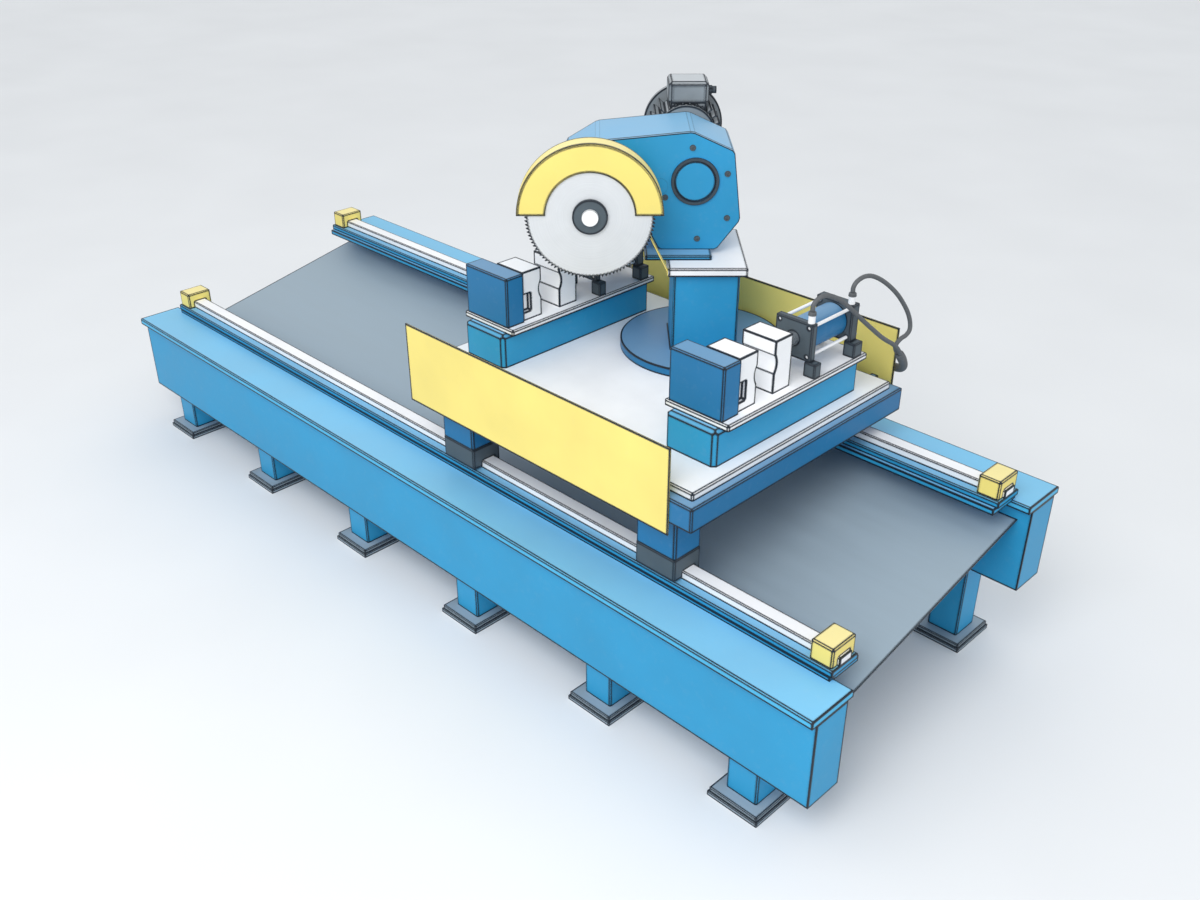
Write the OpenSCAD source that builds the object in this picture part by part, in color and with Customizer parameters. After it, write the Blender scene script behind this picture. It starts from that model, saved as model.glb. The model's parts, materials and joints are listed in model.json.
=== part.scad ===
// Travelling cold saw for round tube on a two-beam bed, the rear beam standing higher than the front one.
// Origin: middle of the bed, on the floor. X runs along the rails, Y to the rear, Z up. Millimetres.

/* [Bed] */
// Length of the two beams
bed_length = 6000; // [5600:10:7000]
// Distance between the beams' inner webs
beam_gap = 1568; // [1540:2:1620]
// Width of each beam
beam_width = 230; // [200:2:250]
// Height of each beam
beam_height = 495; // [460:5:520]
// Plate thickness of the hollow beams
beam_wall = 12; // [8:1:20]
// Height of the front beam's underside above the floor
front_beam_z = 262; // [200:2:320]
// How much higher the rear beam stands
rear_rise = 267; // [240:1:300]
// Width of the cap plate on each beam
cap_width = 305; // [290:1:330]
// Thickness of the cap plate
cap_thickness = 41; // [30:1:50]
// Width of the square legs
leg_width = 186; // [150:2:200]
// Wall of the square legs
leg_wall = 10; // [6:1:16]
// Distance from the left beam end to the first leg's middle
left_leg_inset = 364; // [300:2:420]
// Distance between neighbouring legs
leg_pitch = 1070; // [1000:5:1100]
// Distance from the right beam end to the last leg's middle
right_leg_inset = 387; // [300:1:420]
// Length of each foot's floor plate along the bed
foot_length = 305; // [280:5:340]
// Width of each foot's floor plate across the bed
foot_width = 327; // [300:1:350]
// Thickness of each foot's floor plate
floor_plate_thickness = 25; // [15:1:30]
// Thickness of the pad between floor plate and leg
leg_pad_thickness = 24; // [15:1:30]
// How far the leg pad stands in from the floor plate's edge
leg_pad_inset = 8; // [4:1:20]
// Width of the cross ties between the beams
tie_width = 120; // [80:5:160]
// Height of the cross ties
tie_height = 80; // [60:5:84]
// Thickness of the slanted plate that carries the chip tray on each tie
tray_rib_thickness = 10; // [6:1:20]
// Thickness of the chip tray sheet
tray_thickness = 6; // [3:1:8]
// How far the chip tray stays short of each beam end
tray_end_gap = 70; // [40:5:120]
// Height of the chip tray's front edge above the cross ties
tray_front_lift = 6; // [4:1:20]
// Height of the chip tray's rear edge above its front edge
tray_rise = 323; // [280:1:330]

/* [Rails] */
// Distance from the bed's middle to each rail's middle
rail_y = 685; // [670:1:690]
// Width of the rails
rail_width = 90; // [70:1:100]
// Height of the rails
rail_height = 47; // [35:1:60]
// Thickness of the plate under each rail
rail_plate_thickness = 35; // [25:1:45]
// Width of the plate under each rail
rail_plate_width = 198; // [180:2:204]
// How far rail and plate stay short of each beam end
rail_end_gap = 97; // [80:1:140]
// Thickness of the shelf under the rail plate where it lies on the beam cap
shelf_thickness = 25; // [16:1:30]
// Thickness of the shelf inboard of the beam
shelf_lip_thickness = 34; // [28:1:40]
// Reach of the shelf inboard of the beam's web
shelf_reach = 222; // [212:1:226]
// Thickness of the gussets under the shelf
gusset_thickness = 16; // [10:1:20]
// Depth of the gussets at the beam's web
gusset_depth = 70; // [60:1:72]
// Length of the end stops along the rail
stop_length = 124; // [100:2:140]
// Width of the end stops
stop_width = 175; // [160:1:190]
// Height of the end stops above the rail plate
stop_height = 107; // [80:1:120]
// How far the end stops stay short of each beam end
stop_end_gap = 110; // [100:1:160]

/* [Carriage] */
// Place of the carriage frame's middle along the bed
carriage_x = 1075; // [900:5:1150]
// How far vices and bearing blocks sit to the right of the frame's middle
vice_shift = 12; // [0:1:20]
// Distance between the two vices, and between the bearing blocks
vice_spacing = 1508; // [1480:2:1530]
// Length of the bearing blocks along the rail
block_length = 260; // [220:5:280]
// Width of the bearing blocks
block_width = 194; // [180:2:200]
// Height of the bearing blocks
block_height = 122; // [100:1:140]
// Gap between bearing block and rail plate
block_lift = 14; // [6:1:20]
// Length of the carriage frame along the bed
frame_length = 2100; // [2060:5:2140]
// Depth of the carriage frame across the bed
frame_depth = 1732; // [1700:2:1760]
// Height of the carriage frame
frame_height = 129; // [110:1:150]
// Plate thickness of the frame's hollow members
frame_wall = 12; // [8:1:16]
// Length of the two end boxes of the frame
end_box_length = 450; // [440:5:460]
// Width of the frame's side members
side_member_width = 126; // [100:1:128]
// Width of the frame's two crossbeams beside the ram
crossbeam_width = 130; // [100:1:132]
// Length of the table plate along the bed
table_length = 2010; // [1980:5:2040]
// How far the table plate's front and rear edges lie inside the frame's
table_inset = 56; // [40:1:70]
// Thickness of the table plate
table_thickness = 42; // [30:1:50]
// Bevel on the plates' and blocks' visible edges
edge_bevel = 7; // [3:1:10]
// Height of the front guard plate
front_guard_height = 470; // [400:5:480]
// How far the front guard reaches below the frame's underside
front_guard_drop = 70; // [40:5:80]
// Height of the rear guard plate
rear_guard_height = 470; // [400:5:480]
// How far the rear guard reaches below the frame's underside
rear_guard_drop = 39; // [10:1:60]
// How far the rear guard stands off the frame on its brackets
rear_guard_gap = 52; // [48:1:70]
// Width of the rear guard's brackets
guard_bracket_width = 40; // [30:1:60]
// How far the brackets stand in from the frame's upper and lower faces
guard_bracket_inset = 10; // [5:1:20]
// Thickness of both guard plates
guard_plate_thickness = 8; // [4:1:10]
// How far the front guard's left and right ends stand in from the frame's ends
front_guard_insets = [10, 135]; // [0:5:200]
// How far the rear guard's left and right ends stand in from the frame's ends
rear_guard_insets = [15, 98]; // [0:1:200]

/* [Vices] */
// Width of the vice pedestals along the bed
pedestal_width = 320; // [300:5:340]
// Height of the vice pedestals
pedestal_height = 197; // [170:1:210]
// Bevel round the top of the pedestals
pedestal_bevel = 20; // [10:1:24]
// Wall of the hollow pedestals
pedestal_wall = 20; // [12:1:24]
// Place of the pedestals' front face across the bed
pedestal_front = -569; // [-580:1:-560]
// Place of the pedestals' rear face across the bed
pedestal_rear = 600; // [590:1:610]
// Width of the vice top plates
vice_plate_width = 405; // [390:1:420]
// Thickness of the vice top plates
vice_plate_thickness = 33; // [25:1:40]
// Place of the vice plates' front edge across the bed
vice_plate_front = -529; // [-540:1:-526]
// Width of the fixed jaw block
jaw_block_width = 340; // [320:2:360]
// Depth of the fixed jaw block
jaw_block_depth = 126; // [110:1:140]
// How far the fixed jaw block sits left of the vice's middle
jaw_block_shift = 11; // [0:1:15]
// Place of the fixed jaw block's front face
jaw_block_front = -526; // [-526:1:-520]
// Height of the jaws above the vice plate
jaw_height = 283; // [260:1:290]
// Width of the jaws that touch the tube
jaw_width = 206; // [180:2:220]
// How far jaws and cylinder sit right of the vice's middle
jaw_shift = 42; // [30:1:45]
// Depth of the fixed gripping jaw
insert_depth = 137; // [120:1:145]
// Depth of the moving jaw
moving_jaw_depth = 132; // [110:1:140]
// Radius of the clamped tube
tube_radius = 84; // [60:1:84]
// Depth of the round seat for the tube in each jaw
seat_depth = 16; // [8:1:18]
// Height of the tube's middle above the vice plate
tube_lift = 158; // [150:1:170]
// Height of the key slot in the gripping jaw's side
slot_height = 103; // [60:1:110]
// Gap between moving jaw and vice plate
jaw_clearance = 0.2; // [0.1:0.1:0.5]

/* [Clamp cylinders] */
// Width of the cylinder's square end plates
head_width = 228; // [210:2:240]
// Height of the cylinder's end plates
head_height = 202; // [190:2:210]
// Thickness of the cylinder's front end plate
head_thickness = 42; // [30:1:50]
// Thickness of the cylinder's rear end plate
rear_head_thickness = 62; // [50:1:66]
// Place of the front end plate's front face
cylinder_front = 150; // [145:1:160]
// Distance between the two end plates
cylinder_bay = 298; // [294:1:310]
// Height of the end plates' underside above the vice plate
cylinder_lift = 78; // [70:1:85]
// Outer radius of the cylinder barrel
barrel_radius = 88; // [84:1:92]
// Wall of the cylinder barrel
barrel_wall = 12; // [8:1:16]
// Radius of the piston rod
rod_radius = 36; // [25:1:40]
// Thickness of the piston
piston_length = 50; // [40:1:60]
// Radius of the tie rods
tie_rod_radius = 9; // [6:0.5:10]
// Distance from cylinder axis to tie rod, sideways
tie_rod_x = 90; // [86:1:94]
// Distance from cylinder axis to tie rod, up and down
tie_rod_z = 78; // [74:1:82]
// Width of the foot blocks under the end plates
foot_block_width = 70; // [50:2:80]
// How far the foot blocks stick out beside the end plates
foot_block_reach = 38; // [20:1:40]
// Running clearance between sliding round pieces, in radius
running_clearance = 0.05; // [0.02:0.01:0.1]

/* [Hoses] */
// Radius of the hoses
hose_radius = 12; // [9:0.5:13]
// Radius of the hose ports on the end plates
port_radius = 18; // [15:1:20]
// Length of the hose ports
port_length = 43; // [30:1:50]
// Radius of the hose ferrules
ferrule_radius = 21; // [18:1:22]
// Length of the hose ferrules
ferrule_length = 19; // [14:1:24]
// Radius of the sleeve that takes two hoses
sleeve_radius = 25; // [24.5:0.5:28]
// Width of the manifold blocks along the bed
manifold_width = 56; // [54:1:60]
// Depth of the manifold blocks
manifold_depth = 64; // [60:1:70]
// Height of the manifold blocks
manifold_height = 170; // [160:1:180]
// How far the left manifold stands in from the table's left and rear edges
left_manifold_insets = [20, 6]; // [5:1:30]
// How far the right manifold stands in from the rear guard's right end
right_manifold_inset = 77; // [60:1:90]
// How far the right manifold's underside lies above the rear guard's lower edge
right_manifold_lift = 133; // [100:1:150]
// Radius of the supply ports in the manifolds
supply_port_radius = 10.5; // [8:0.5:12]
// Depth of the supply ports
supply_port_depth = 22; // [15:1:26]

/* [Turntable and ram] */
// Place of the turntable's axis along the bed
turn_x = 1045; // [1035:1:1055]
// Place of the turntable's axis across the bed
turn_y = 445; // [435:1:450]
// Angle between the blade's line and the rails, 45 for the mitre cut shown and 90 for a square cut
swivel_rest = 45; // [45:1:90]
// Radius of the turntable disc
disc_radius = 462; // [440:1:466]
// Thickness of the turntable disc
disc_thickness = 50; // [35:1:60]
// Outer radius of the turntable's centring spigot
spigot_radius = 318; // [312:1:322]
// Inner radius of the turntable's centring spigot
spigot_inner_radius = 292; // [286:1:296]
// Gap between the turntable disc and the table
disc_gap = 0.2; // [0.1:0.1:0.4]
// Side of the square ram
ram_side = 362; // [340:2:370]
// Wall of the hollow ram
ram_wall = 22; // [14:1:30]
// Bevel on the ram's upright edges
ram_bevel = 8; // [4:1:12]
// Gap between the ram and its guide
ram_gap = 0.1; // [0.05:0.05:0.2]
// Height of the ram's top above the turntable disc
ram_rise = 448; // [440:1:456]
// Length of the ram
ram_length = 520; // [500:5:520]
// How far the ram feeds the blade down
ram_stroke = 215; // [200:1:215]
// Outer radius of the round ram guide under the disc
guide_radius = 276; // [272:1:280]
// Depth of the ram guide below the table's top face
guide_depth = 252; // [245:1:252]
// Thickness of the ram guide's base plate
guide_base = 12; // [10:1:13]
// Wall of the square post that guides the ram from inside
post_wall = 16; // [10:1:20]
// Outer radius of the lift cylinder
lift_radius = 68; // [60:1:80]
// Wall of the lift cylinder
lift_wall = 14; // [10:1:18]
// Length of the lift cylinder
lift_length = 470; // [450:5:480]
// Radius of the lift rod
lift_rod_radius = 32; // [25:1:36]
// Length of the lift piston
lift_piston_length = 50; // [40:1:60]

/* [Head] */
// Thickness of the head plate on the ram
head_plate_thickness = 48; // [40:1:55]
// Reach of the head plate to the blade side, right side, front and back of the ram's axis
head_plate_reach = [213, 218, 220, 404]; // [150:1:420]
// Thickness of the saddle plate under the gearbox
saddle_thickness = 27; // [20:1:30]
// Reach of the saddle plate to the blade side, right side, front and back of the ram's axis
saddle_reach = [334, 30, 97, 400]; // [20:1:420]
// Depth of the gearbox from front face to back face
gearbox_depth = 430; // [420:5:440]
// Thickness of the gearbox's front cover
cover_thickness = 20; // [14:1:24]
// Thickness of the gearbox's back wall
back_wall = 20; // [14:1:24]
// Thickness of the gearbox's other walls
gearbox_wall = 13; // [8:1:13]
// How far the gearbox's corners are cut back along its edges
gearbox_corner = 12; // [6:1:14]
// Radius of the round bearing cover on the gearbox
bearing_cover_radius = 129; // [115:1:135]
// Thickness of the bearing cover
bearing_cover_thickness = 12; // [8:1:16]
// Width of the bearing cover's raised rim
bearing_cover_rim = 18; // [12:1:24]
// Radius of the cover screws' heads
screw_head_radius = 13; // [9:1:15]
// Height of the cover screws' heads
screw_head_height = 9; // [6:1:12]
// Radius of the cover screws' shanks
screw_radius = 6; // [4:0.5:8]
// Thickness of the chip deflector strip
deflector_thickness = 7; // [4:1:10]
// Width of the chip deflector strip
deflector_width = 36; // [25:1:50]

/* [Gearbox outline] */
// Distance of the spindle to the blade side of the ram's axis
spindle_offset = 630; // [620:1:635]
// Height of the spindle above the saddle plate
spindle_lift = 282; // [280:1:286]
// Distance of the bearing cover to the blade side of the ram's axis
cover_offset = 70; // [68:1:72]
// Height of the bearing cover above the saddle plate
cover_lift = 383; // [380:1:386]
// Reach of the gearbox past the spindle
gearbox_end = 137; // [134:1:140]
// Height of the gearbox's peak above the saddle plate
gearbox_peak = 645; // [640:1:660]
// Reach of the gearbox to the right of the ram's axis
gearbox_right = 183; // [180:1:190]

/* [Gears] */
// Tooth module of all gears
gear_module = 3; // [3:1:3]
// Teeth of the motor pinion
motor_pinion_teeth = 17; // [16:1:18]
// Teeth of the wheel it drives
first_wheel_teeth = 67; // [66:1:68]
// Teeth of the second pinion
second_pinion_teeth = 27; // [25:1:28]
// Teeth of the second wheel
second_wheel_teeth = 100; // [98:1:101]
// Teeth of the third pinion
third_pinion_teeth = 32; // [30:1:33]
// Teeth of the idler wheel
idler_teeth = 80; // [80:1:82]
// Teeth of the spindle wheel
spindle_teeth = 62; // [60:1:63]
// Width of the gears' toothed rims
gear_width = 44; // [36:1:48]
// How far the teeth stop short of the pitch line
tooth_relief = 0.5; // [0.4:0.1:1]
// Depth of the tooth gaps
tooth_depth = 6; // [4:0.5:7]
// Radius of the gear shafts
gear_shaft_radius = 24; // [20:1:28]
// Outer radius of the gear shafts' bearings
gear_bearing_radius = 44; // [40:1:48]

/* [Blade] */
// Radius of the saw blade
blade_radius = 342; // [320:1:342]
// Thickness of the saw blade
blade_thickness = 5.5; // [3:0.5:7]
// Number of blade teeth
blade_teeth = 104; // [80:1:120]
// Depth of the blade's tooth gaps
blade_tooth_depth = 12; // [8:1:14]
// Distance of the blade in front of the ram's axis
blade_front = 267; // [262:1:270]
// Radius of the blade flanges
flange_radius = 93; // [80:1:100]
// Thickness of the blade flanges
flange_thickness = 17; // [12:1:22]
// Radius of the spindle
spindle_radius = 45; // [40:1:50]
// Radius of the spindle nose and the blade's bore
nose_radius = 30; // [24:1:34]
// Radius of the spindle nut
nut_radius = 44; // [40:1:50]
// Thickness of the spindle nut
nut_thickness = 16; // [12:1:20]
// Radius of the spindle quill
quill_radius = 98; // [95:1:102]
// Length of the spindle quill in front of the gearbox
quill_length = 163; // [155:1:165]
// Radius of the quill's flange
quill_flange_radius = 118; // [110:1:119]
// Outer radius of the spindle bearings
spindle_bearing_radius = 80; // [76:1:84]
// Length of the spindle bearings
spindle_bearing_length = 38; // [30:1:44]
// Outer radius of the blade guard
guard_radius = 384; // [376:1:390]
// Radius of the guard's half-round opening
guard_opening_radius = 233; // [200:1:250]
// Depth of the blade guard from front to back
guard_depth = 118; // [116:1:118]
// Sheet thickness of the blade guard
guard_sheet = 4; // [3:1:5]

/* [Motor] */
// Radius of the motor over its fins
motor_fin_radius = 204; // [195:1:208]
// Radius of the motor housing under its fins
motor_radius = 164; // [160:1:166]
// Wall of the motor housing
motor_wall = 12; // [8:1:14]
// Height of the ribs under the terminal box
seat_rib_height = 10; // [6:1:12]
// Number of cooling fins
fin_count = 28; // [24:1:36]
// Thickness of the cooling fins
fin_thickness = 7; // [4:1:9]
// Radius of the front end shield
front_shield_radius = 168; // [166:1:180]
// Radius of the rear end shield
rear_shield_radius = 227; // [215:1:228]
// Thickness of the front end shield
front_shield_thickness = 22; // [16:1:26]
// Thickness of the rear end shield
rear_shield_thickness = 34; // [26:1:34]
// Length of the motor housing between the shields
motor_length = 250; // [240:5:255]
// Length of the fan cover
fan_cover_length = 60; // [50:1:64]
// Outer radius of the fan cover where it starts
fan_cover_radius = 200; // [190:1:205]
// How much the fan cover tapers
fan_cover_taper = 38; // [34:1:45]
// Sheet thickness of the fan cover
fan_cover_sheet = 4; // [3:1:6]
// Radius of the fan
fan_radius = 140; // [120:1:145]
// Radius of the rotor
rotor_radius = 100; // [90:1:104]
// Air gap between rotor and stator
air_gap = 2; // [1:0.5:3]
// Radius of the motor shaft
motor_shaft_radius = 22; // [18:1:24]
// Width of the terminal box
box_width = 225; // [200:5:235]
// Length of the terminal box along the motor
box_length = 215; // [200:5:220]
// Height of the terminal box without its lid
box_height = 93; // [80:1:100]
// Thickness of the terminal box's lid
lid_thickness = 20; // [14:1:24]
// Bevel on the terminal box's upright edges and on its lid
box_bevel = 18; // [10:1:19]
// Wall of the terminal box
box_wall = 6; // [4:1:8]
// Outer radius of the cable gland
gland_radius = 25; // [20:1:28]
// Inner radius of the cable gland
gland_bore = 11; // [8:0.5:14]
// Length of the cable gland
gland_length = 48; // [35:1:60]

/* [Hidden] */
$fn = 96;

beam_blue = "#45a1d1";
frame_blue = "#2f77af";
head_blue = "#3691c5";
guard_yellow = "#f4e78c";
plate_white = "#f0f0f2";
sheet_grey = "#8797a2";
slate = "#4a565e";
steel = "#c9ced3";
motor_grey = "#8d9499";
hose_grey = "#5a5d60";

// Bed heights and places
pad_top = floor_plate_thickness + leg_pad_thickness;
beam_y = beam_gap / 2 + beam_width / 2;
cap_top = front_beam_z + beam_height + cap_thickness;
shelf_top = cap_top + shelf_thickness;
plate_top = shelf_top + rail_plate_thickness;
rail_half = bed_length / 2 - rail_end_gap;
leg_places = concat(
    [for (i = [0 : 4]) -bed_length / 2 + left_leg_inset + i * leg_pitch],
    [bed_length / 2 - right_leg_inset]
);
tie_z = front_beam_z + rear_rise + 6;
tray_front_z = tie_z + tie_height + tray_front_lift;

// Carriage heights and places
block_top = plate_top + block_lift + block_height;
frame_z = block_top + rear_rise;
table_z = frame_z + frame_height;
table_depth = frame_depth - 2 * table_inset;
rear_guard_y = frame_depth / 2 + rear_guard_gap;
table_top = table_z + table_thickness;
frame_left = carriage_x - frame_length / 2;
frame_right = carriage_x + frame_length / 2;
vice_places = [for (side = [-1, 1]) carriage_x + vice_shift + side * vice_spacing / 2];

// Vice heights and places
pedestal_top = table_top + pedestal_height;
vice_top = pedestal_top + vice_plate_thickness;
jaw_block_back = jaw_block_front + jaw_block_depth;
grip_y = jaw_block_back + insert_depth;
tube_y = grip_y - seat_depth + tube_radius;
moving_grip_y = tube_y + tube_radius - seat_depth;
moving_back_y = moving_grip_y + moving_jaw_depth;
head_z = vice_top + cylinder_lift;
cylinder_z = head_z + head_height / 2;
cylinder_rear = cylinder_front + head_thickness + cylinder_bay;
piston_y = cylinder_front + head_thickness + cylinder_bay / 2 - piston_length / 2;
port_x = 88;
port_y = [for (front = [cylinder_front, cylinder_rear]) front + head_thickness / 2];

// Turntable and ram heights
disc_top = table_top + disc_gap + disc_thickness;
ram_top = disc_top + ram_rise;
head_plate_top = ram_top + head_plate_thickness;
saddle_top = head_plate_top + saddle_thickness;
guide_bottom = table_top - guide_depth;
guide_hole = ram_side + 2 * ram_gap;
post_side = ram_side - 2 * ram_wall - 2 * ram_gap;
post_top = ram_top - ram_wall - ram_stroke - 8;
lift_z = guide_bottom + guide_base;
lift_bore = lift_radius - lift_wall;
lift_rod_top = ram_top - ram_wall;

// Places in the head, as distance right of the ram's axis and height
spindle_at = [-spindle_offset, saddle_top + spindle_lift];
first_at = [-cover_offset, saddle_top + cover_lift];
function pitch(a, b) = gear_module * (a + b) / 2;
function gear_radius(teeth) = gear_module * teeth / 2;
motor_at = first_at + pitch(motor_pinion_teeth, first_wheel_teeth) * [-0.224, 0.9746];
second_at = first_at + pitch(second_pinion_teeth, second_wheel_teeth) * [-0.989, -0.148];
function meeting_point(p, q, from_p, from_q) =
    let (
        apart = norm(q - p),
        along = (apart * apart + from_p * from_p - from_q * from_q) / (2 * apart),
        aside = sqrt(from_p * from_p - along * along),
        way = (q - p) / apart
    )
    p + along * way + aside * [way.y, -way.x];
idler_at = meeting_point(
    second_at, spindle_at, pitch(third_pinion_teeth, idler_teeth), pitch(idler_teeth, spindle_teeth)
);
// Outline whose corners are cut back along both edges
function cut_corners(points, cut) = [
    for (i = [0 : len(points) - 1])
    let (
        here = points[i],
        to_before = points[(i + len(points) - 1) % len(points)] - here,
        to_after = points[(i + 1) % len(points)] - here
    )
    each [here + cut * to_before / norm(to_before), here + cut * to_after / norm(to_after)]
];
gear_gap = 28;
function gear_front(stage) = cover_thickness + 20 + stage * (gear_width + gear_gap);
bearing_length = 30;
boss_wall = 12;
belly_lift = spindle_lift - 115;
gearbox_outline = [
    [-spindle_offset - gearbox_end, saddle_top + spindle_lift + 210],
    [-spindle_offset + 38, saddle_top + spindle_lift + 315],
    [-90, saddle_top + gearbox_peak],
    [gearbox_right - 48, saddle_top + gearbox_peak - 102],
    [gearbox_right, saddle_top + belly_lift],
    [60, saddle_top],
    [-254, saddle_top],
    [-345, saddle_top + belly_lift],
    [-spindle_offset - 70, saddle_top + belly_lift],
    [-spindle_offset - gearbox_end, saddle_top + spindle_lift - 57]
];
cut_outline = cut_corners(gearbox_outline, gearbox_corner);
// Screws of the front cover, measured from the bearing cover's middle
cover_screw_places = [
    [-19, 180], [172, 40], [180, -204], [22, -321], [-158, -89],
    [-500, 170], [-650, 70], [-460, -195], [-330, -188]
];

// Blade side
flange_front = blade_front + blade_thickness + flange_thickness;

// Motor
motor_front = gearbox_depth;
housing_front = motor_front + front_shield_thickness;
housing_back = housing_front + motor_length;
rear_shield_back = housing_back + rear_shield_thickness;
stator_length = 180;
stator_front = housing_front + (motor_length - stator_length) / 2;
box_front = housing_front + 23;
box_seat = motor_radius + seat_rib_height;
box_shift = 13;

// Hoses: route points chosen by hand, from port to sleeve
right_front_route = [
    [1971, 171, 2004], [1971, 171, 2030], [1975, 184, 2054], [1983, 212, 2070], [1993, 252, 2070],
    [2005, 297, 2052], [2017, 342, 2022], [2029, 390, 1982], [2040, 440, 1936], [2050, 492, 1888],
    [2059, 546, 1840], [2067, 602, 1792], [2075, 658, 1745], [2081, 712, 1706], [2085, 756, 1678],
    [2088, 788, 1654], [2092, 812, 1631], [2095, 829, 1609], [2098, 843, 1588]
];
right_rear_route = [
    [1971, 511, 2004], [1971, 511, 2030], [1975, 528, 2056], [1983, 570, 2072], [1993, 622, 2068],
    [2004, 676, 2044], [2016, 732, 2007], [2029, 786, 1962], [2041, 836, 1912], [2053, 880, 1856],
    [2065, 914, 1800], [2076, 932, 1745], [2082, 930, 1700], [2080, 905, 1676], [2074, 872, 1666],
    [2070, 844, 1651], [2068, 830, 1630], [2070, 834, 1608], [2074, 849, 1588]
];
right_sleeve_route = [
    [2086.2, 846.7, 1587], [2091, 868, 1557], [2090, 891, 1526], [2083, 912, 1499], [2071, 930, 1476],
    [2053, 944, 1458], [2030, 954, 1447], [2003, 958, 1442], [1976, 958, 1440], [1950.2, 958, 1440]
];
left_front_route = [
    [199, 171, 1841], [172, 171, 1841], [143, 181, 1839], [120, 205, 1836], [108, 238, 1834],
    [104, 285, 1831], [104, 340, 1827], [104, 395, 1823], [104, 450, 1817], [103, 505, 1809],
    [102, 558, 1799], [100, 606, 1785], [98, 646, 1767], [98, 682, 1751], [99.5, 706, 1734], [100, 723, 1712]
];
left_rear_route = [
    [199, 511, 1841], [174, 511, 1841], [151, 524, 1838], [137, 550, 1831], [132, 582, 1820],
    [129, 616, 1804], [127, 648, 1785], [126, 680, 1762], [125, 704, 1734], [125, 721, 1712]
];
left_sleeve_route = [
    [112.5, 722.8, 1711], [113, 747, 1680], [116, 764, 1648], [118, 772, 1622], [118, 772, 1602.2]
];

// Shared shapes

// Rectangle with all four corners cut off
module bevel_rectangle(width, height, bevel) {
    polygon([
        [bevel, 0], [width - bevel, 0], [width, bevel], [width, height - bevel],
        [width - bevel, height], [bevel, height], [0, height - bevel], [0, bevel]
    ]);
}

// Rectangle with its two upper corners cut off
module roof_rectangle(width, height, bevel) {
    polygon([
        [0, 0], [width, 0], [width, height - bevel],
        [width - bevel, height], [bevel, height], [0, height - bevel]
    ]);
}

// Box between two corners with bevelled upright and upper edges
module bevel_box(low, high, bevel = edge_bevel) {
    size = high - low;
    translate(low)
    intersection() {
        linear_extrude(size.z) bevel_rectangle(size.x, size.y, bevel);
        translate([0, size.y, 0])
        rotate([90, 0, 0])
        linear_extrude(size.y)
        roof_rectangle(size.x, size.z, bevel);
        rotate([90, 0, 90]) linear_extrude(size.x) roof_rectangle(size.y, size.z, bevel);
    }
}

// Plain box between two corners
module block(low, high) {
    translate(low) cube(high - low);
}

// Copies for the front beam and, raised and mirrored, for the rear beam
module both_beams() {
    mirror([0, 1, 0]) children();
    translate([0, 0, rear_rise]) children();
}

// Profile in Y and Z carried along X, centred on the bed
module along_bed(length) {
    translate([-length / 2, 0, 0]) rotate([90, 0, 90]) linear_extrude(length) children();
}

// Copies in both vices, with the vice's middle as origin
module both_vices() {
    for (place = vice_places) translate([place, 0, 0]) children();
}

// Frame of the head: X to the right of the ram's axis, Y backwards
module on_turntable() {
    translate([turn_x, turn_y, 0]) rotate([0, 0, swivel_rest]) children();
}

// Rod across the head, from depth back to depth front in front of the ram's axis
module head_rod(at, back, front, radius) {
    translate([at.x, -back, at.y]) rotate([90, 0, 0]) cylinder(h = front - back, r = radius);
}

// Profile across the head, from depth back to depth front in front of the ram's axis
module head_slice(back, front) {
    translate([0, -back, 0]) rotate([90, 0, 0]) linear_extrude(front - back) children();
}

function edge_normal(a, b) = [b.y - a.y, a.x - b.x] / norm(b - a);

// Outline drawn in by a wall thickness, corner by corner
function drawn_in(points, wall) = [
    for (i = [0 : len(points) - 1])
    let (
        before = points[(i + len(points) - 1) % len(points)],
        here = points[i],
        after = points[(i + 1) % len(points)],
        n = edge_normal(before, here),
        m = edge_normal(here, after)
    )
    here + wall * (n + m) / (1 + n * m)
];

// Toothed rim whose teeth stop just short of the pitch line
module gear_rim(teeth) {
    top = gear_radius(teeth) - tooth_relief;
    root = top - tooth_depth;
    step = 360 / teeth;
    polygon([
        for (i = [0 : teeth - 1])
        for (corner = [[0.04, root], [0.2, top], [0.54, top], [0.7, root]])
        let (angle = (i + corner[0]) * step)
        corner[1] * [cos(angle), sin(angle)]
    ]);
}

// Gear rim at a place in the head, for the given stage behind the front cover
module gear(at, teeth, stage) {
    front = -gear_front(stage);
    translate([at.x, -front + gear_width, at.y])
    rotate([90, 0, 0])
    linear_extrude(gear_width)
    gear_rim(teeth);
}

function unit(v) = v / norm(v);

// Round tube swept along a route, with one ring of corners at each route point
module swept_tube(route, radius, aside, sides = 10) {
    last = len(route) - 1;
    rings = [
        for (i = [0 : last])
        let (
            way = unit(route[min(i + 1, last)] - route[max(i - 1, 0)]),
            u = unit(cross(aside, way)),
            v = cross(way, u)
        )
        for (k = [0 : sides - 1])
        route[i] + radius * (cos(360 * k / sides) * u + sin(360 * k / sides) * v)
    ];
    walls = [
        for (i = [0 : last - 1])
        for (k = [0 : sides - 1])
        let (j = (k + 1) % sides)
        each [
            [i * sides + k, (i + 1) * sides + k, (i + 1) * sides + j],
            [i * sides + k, (i + 1) * sides + j, i * sides + j]
        ]
    ];
    ends = [
        [for (k = [0 : sides - 1]) k],
        [for (k = [sides - 1 : -1 : 0]) last * sides + k]
    ];
    polyhedron(points = rings, faces = concat(walls, ends), convexity = 6);
}

// Bed

module beams() {
    color(beam_blue)
    both_beams()
    difference() {
        block(
            [-bed_length / 2, beam_gap / 2, front_beam_z],
            [bed_length / 2, beam_gap / 2 + beam_width, front_beam_z + beam_height]
        );
        block(
            [-bed_length / 2 + beam_wall, beam_gap / 2 + beam_wall, front_beam_z + beam_wall],
            [
                bed_length / 2 - beam_wall,
                beam_gap / 2 + beam_width - beam_wall,
                front_beam_z + beam_height - beam_wall
            ]
        );
    }
}

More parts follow.
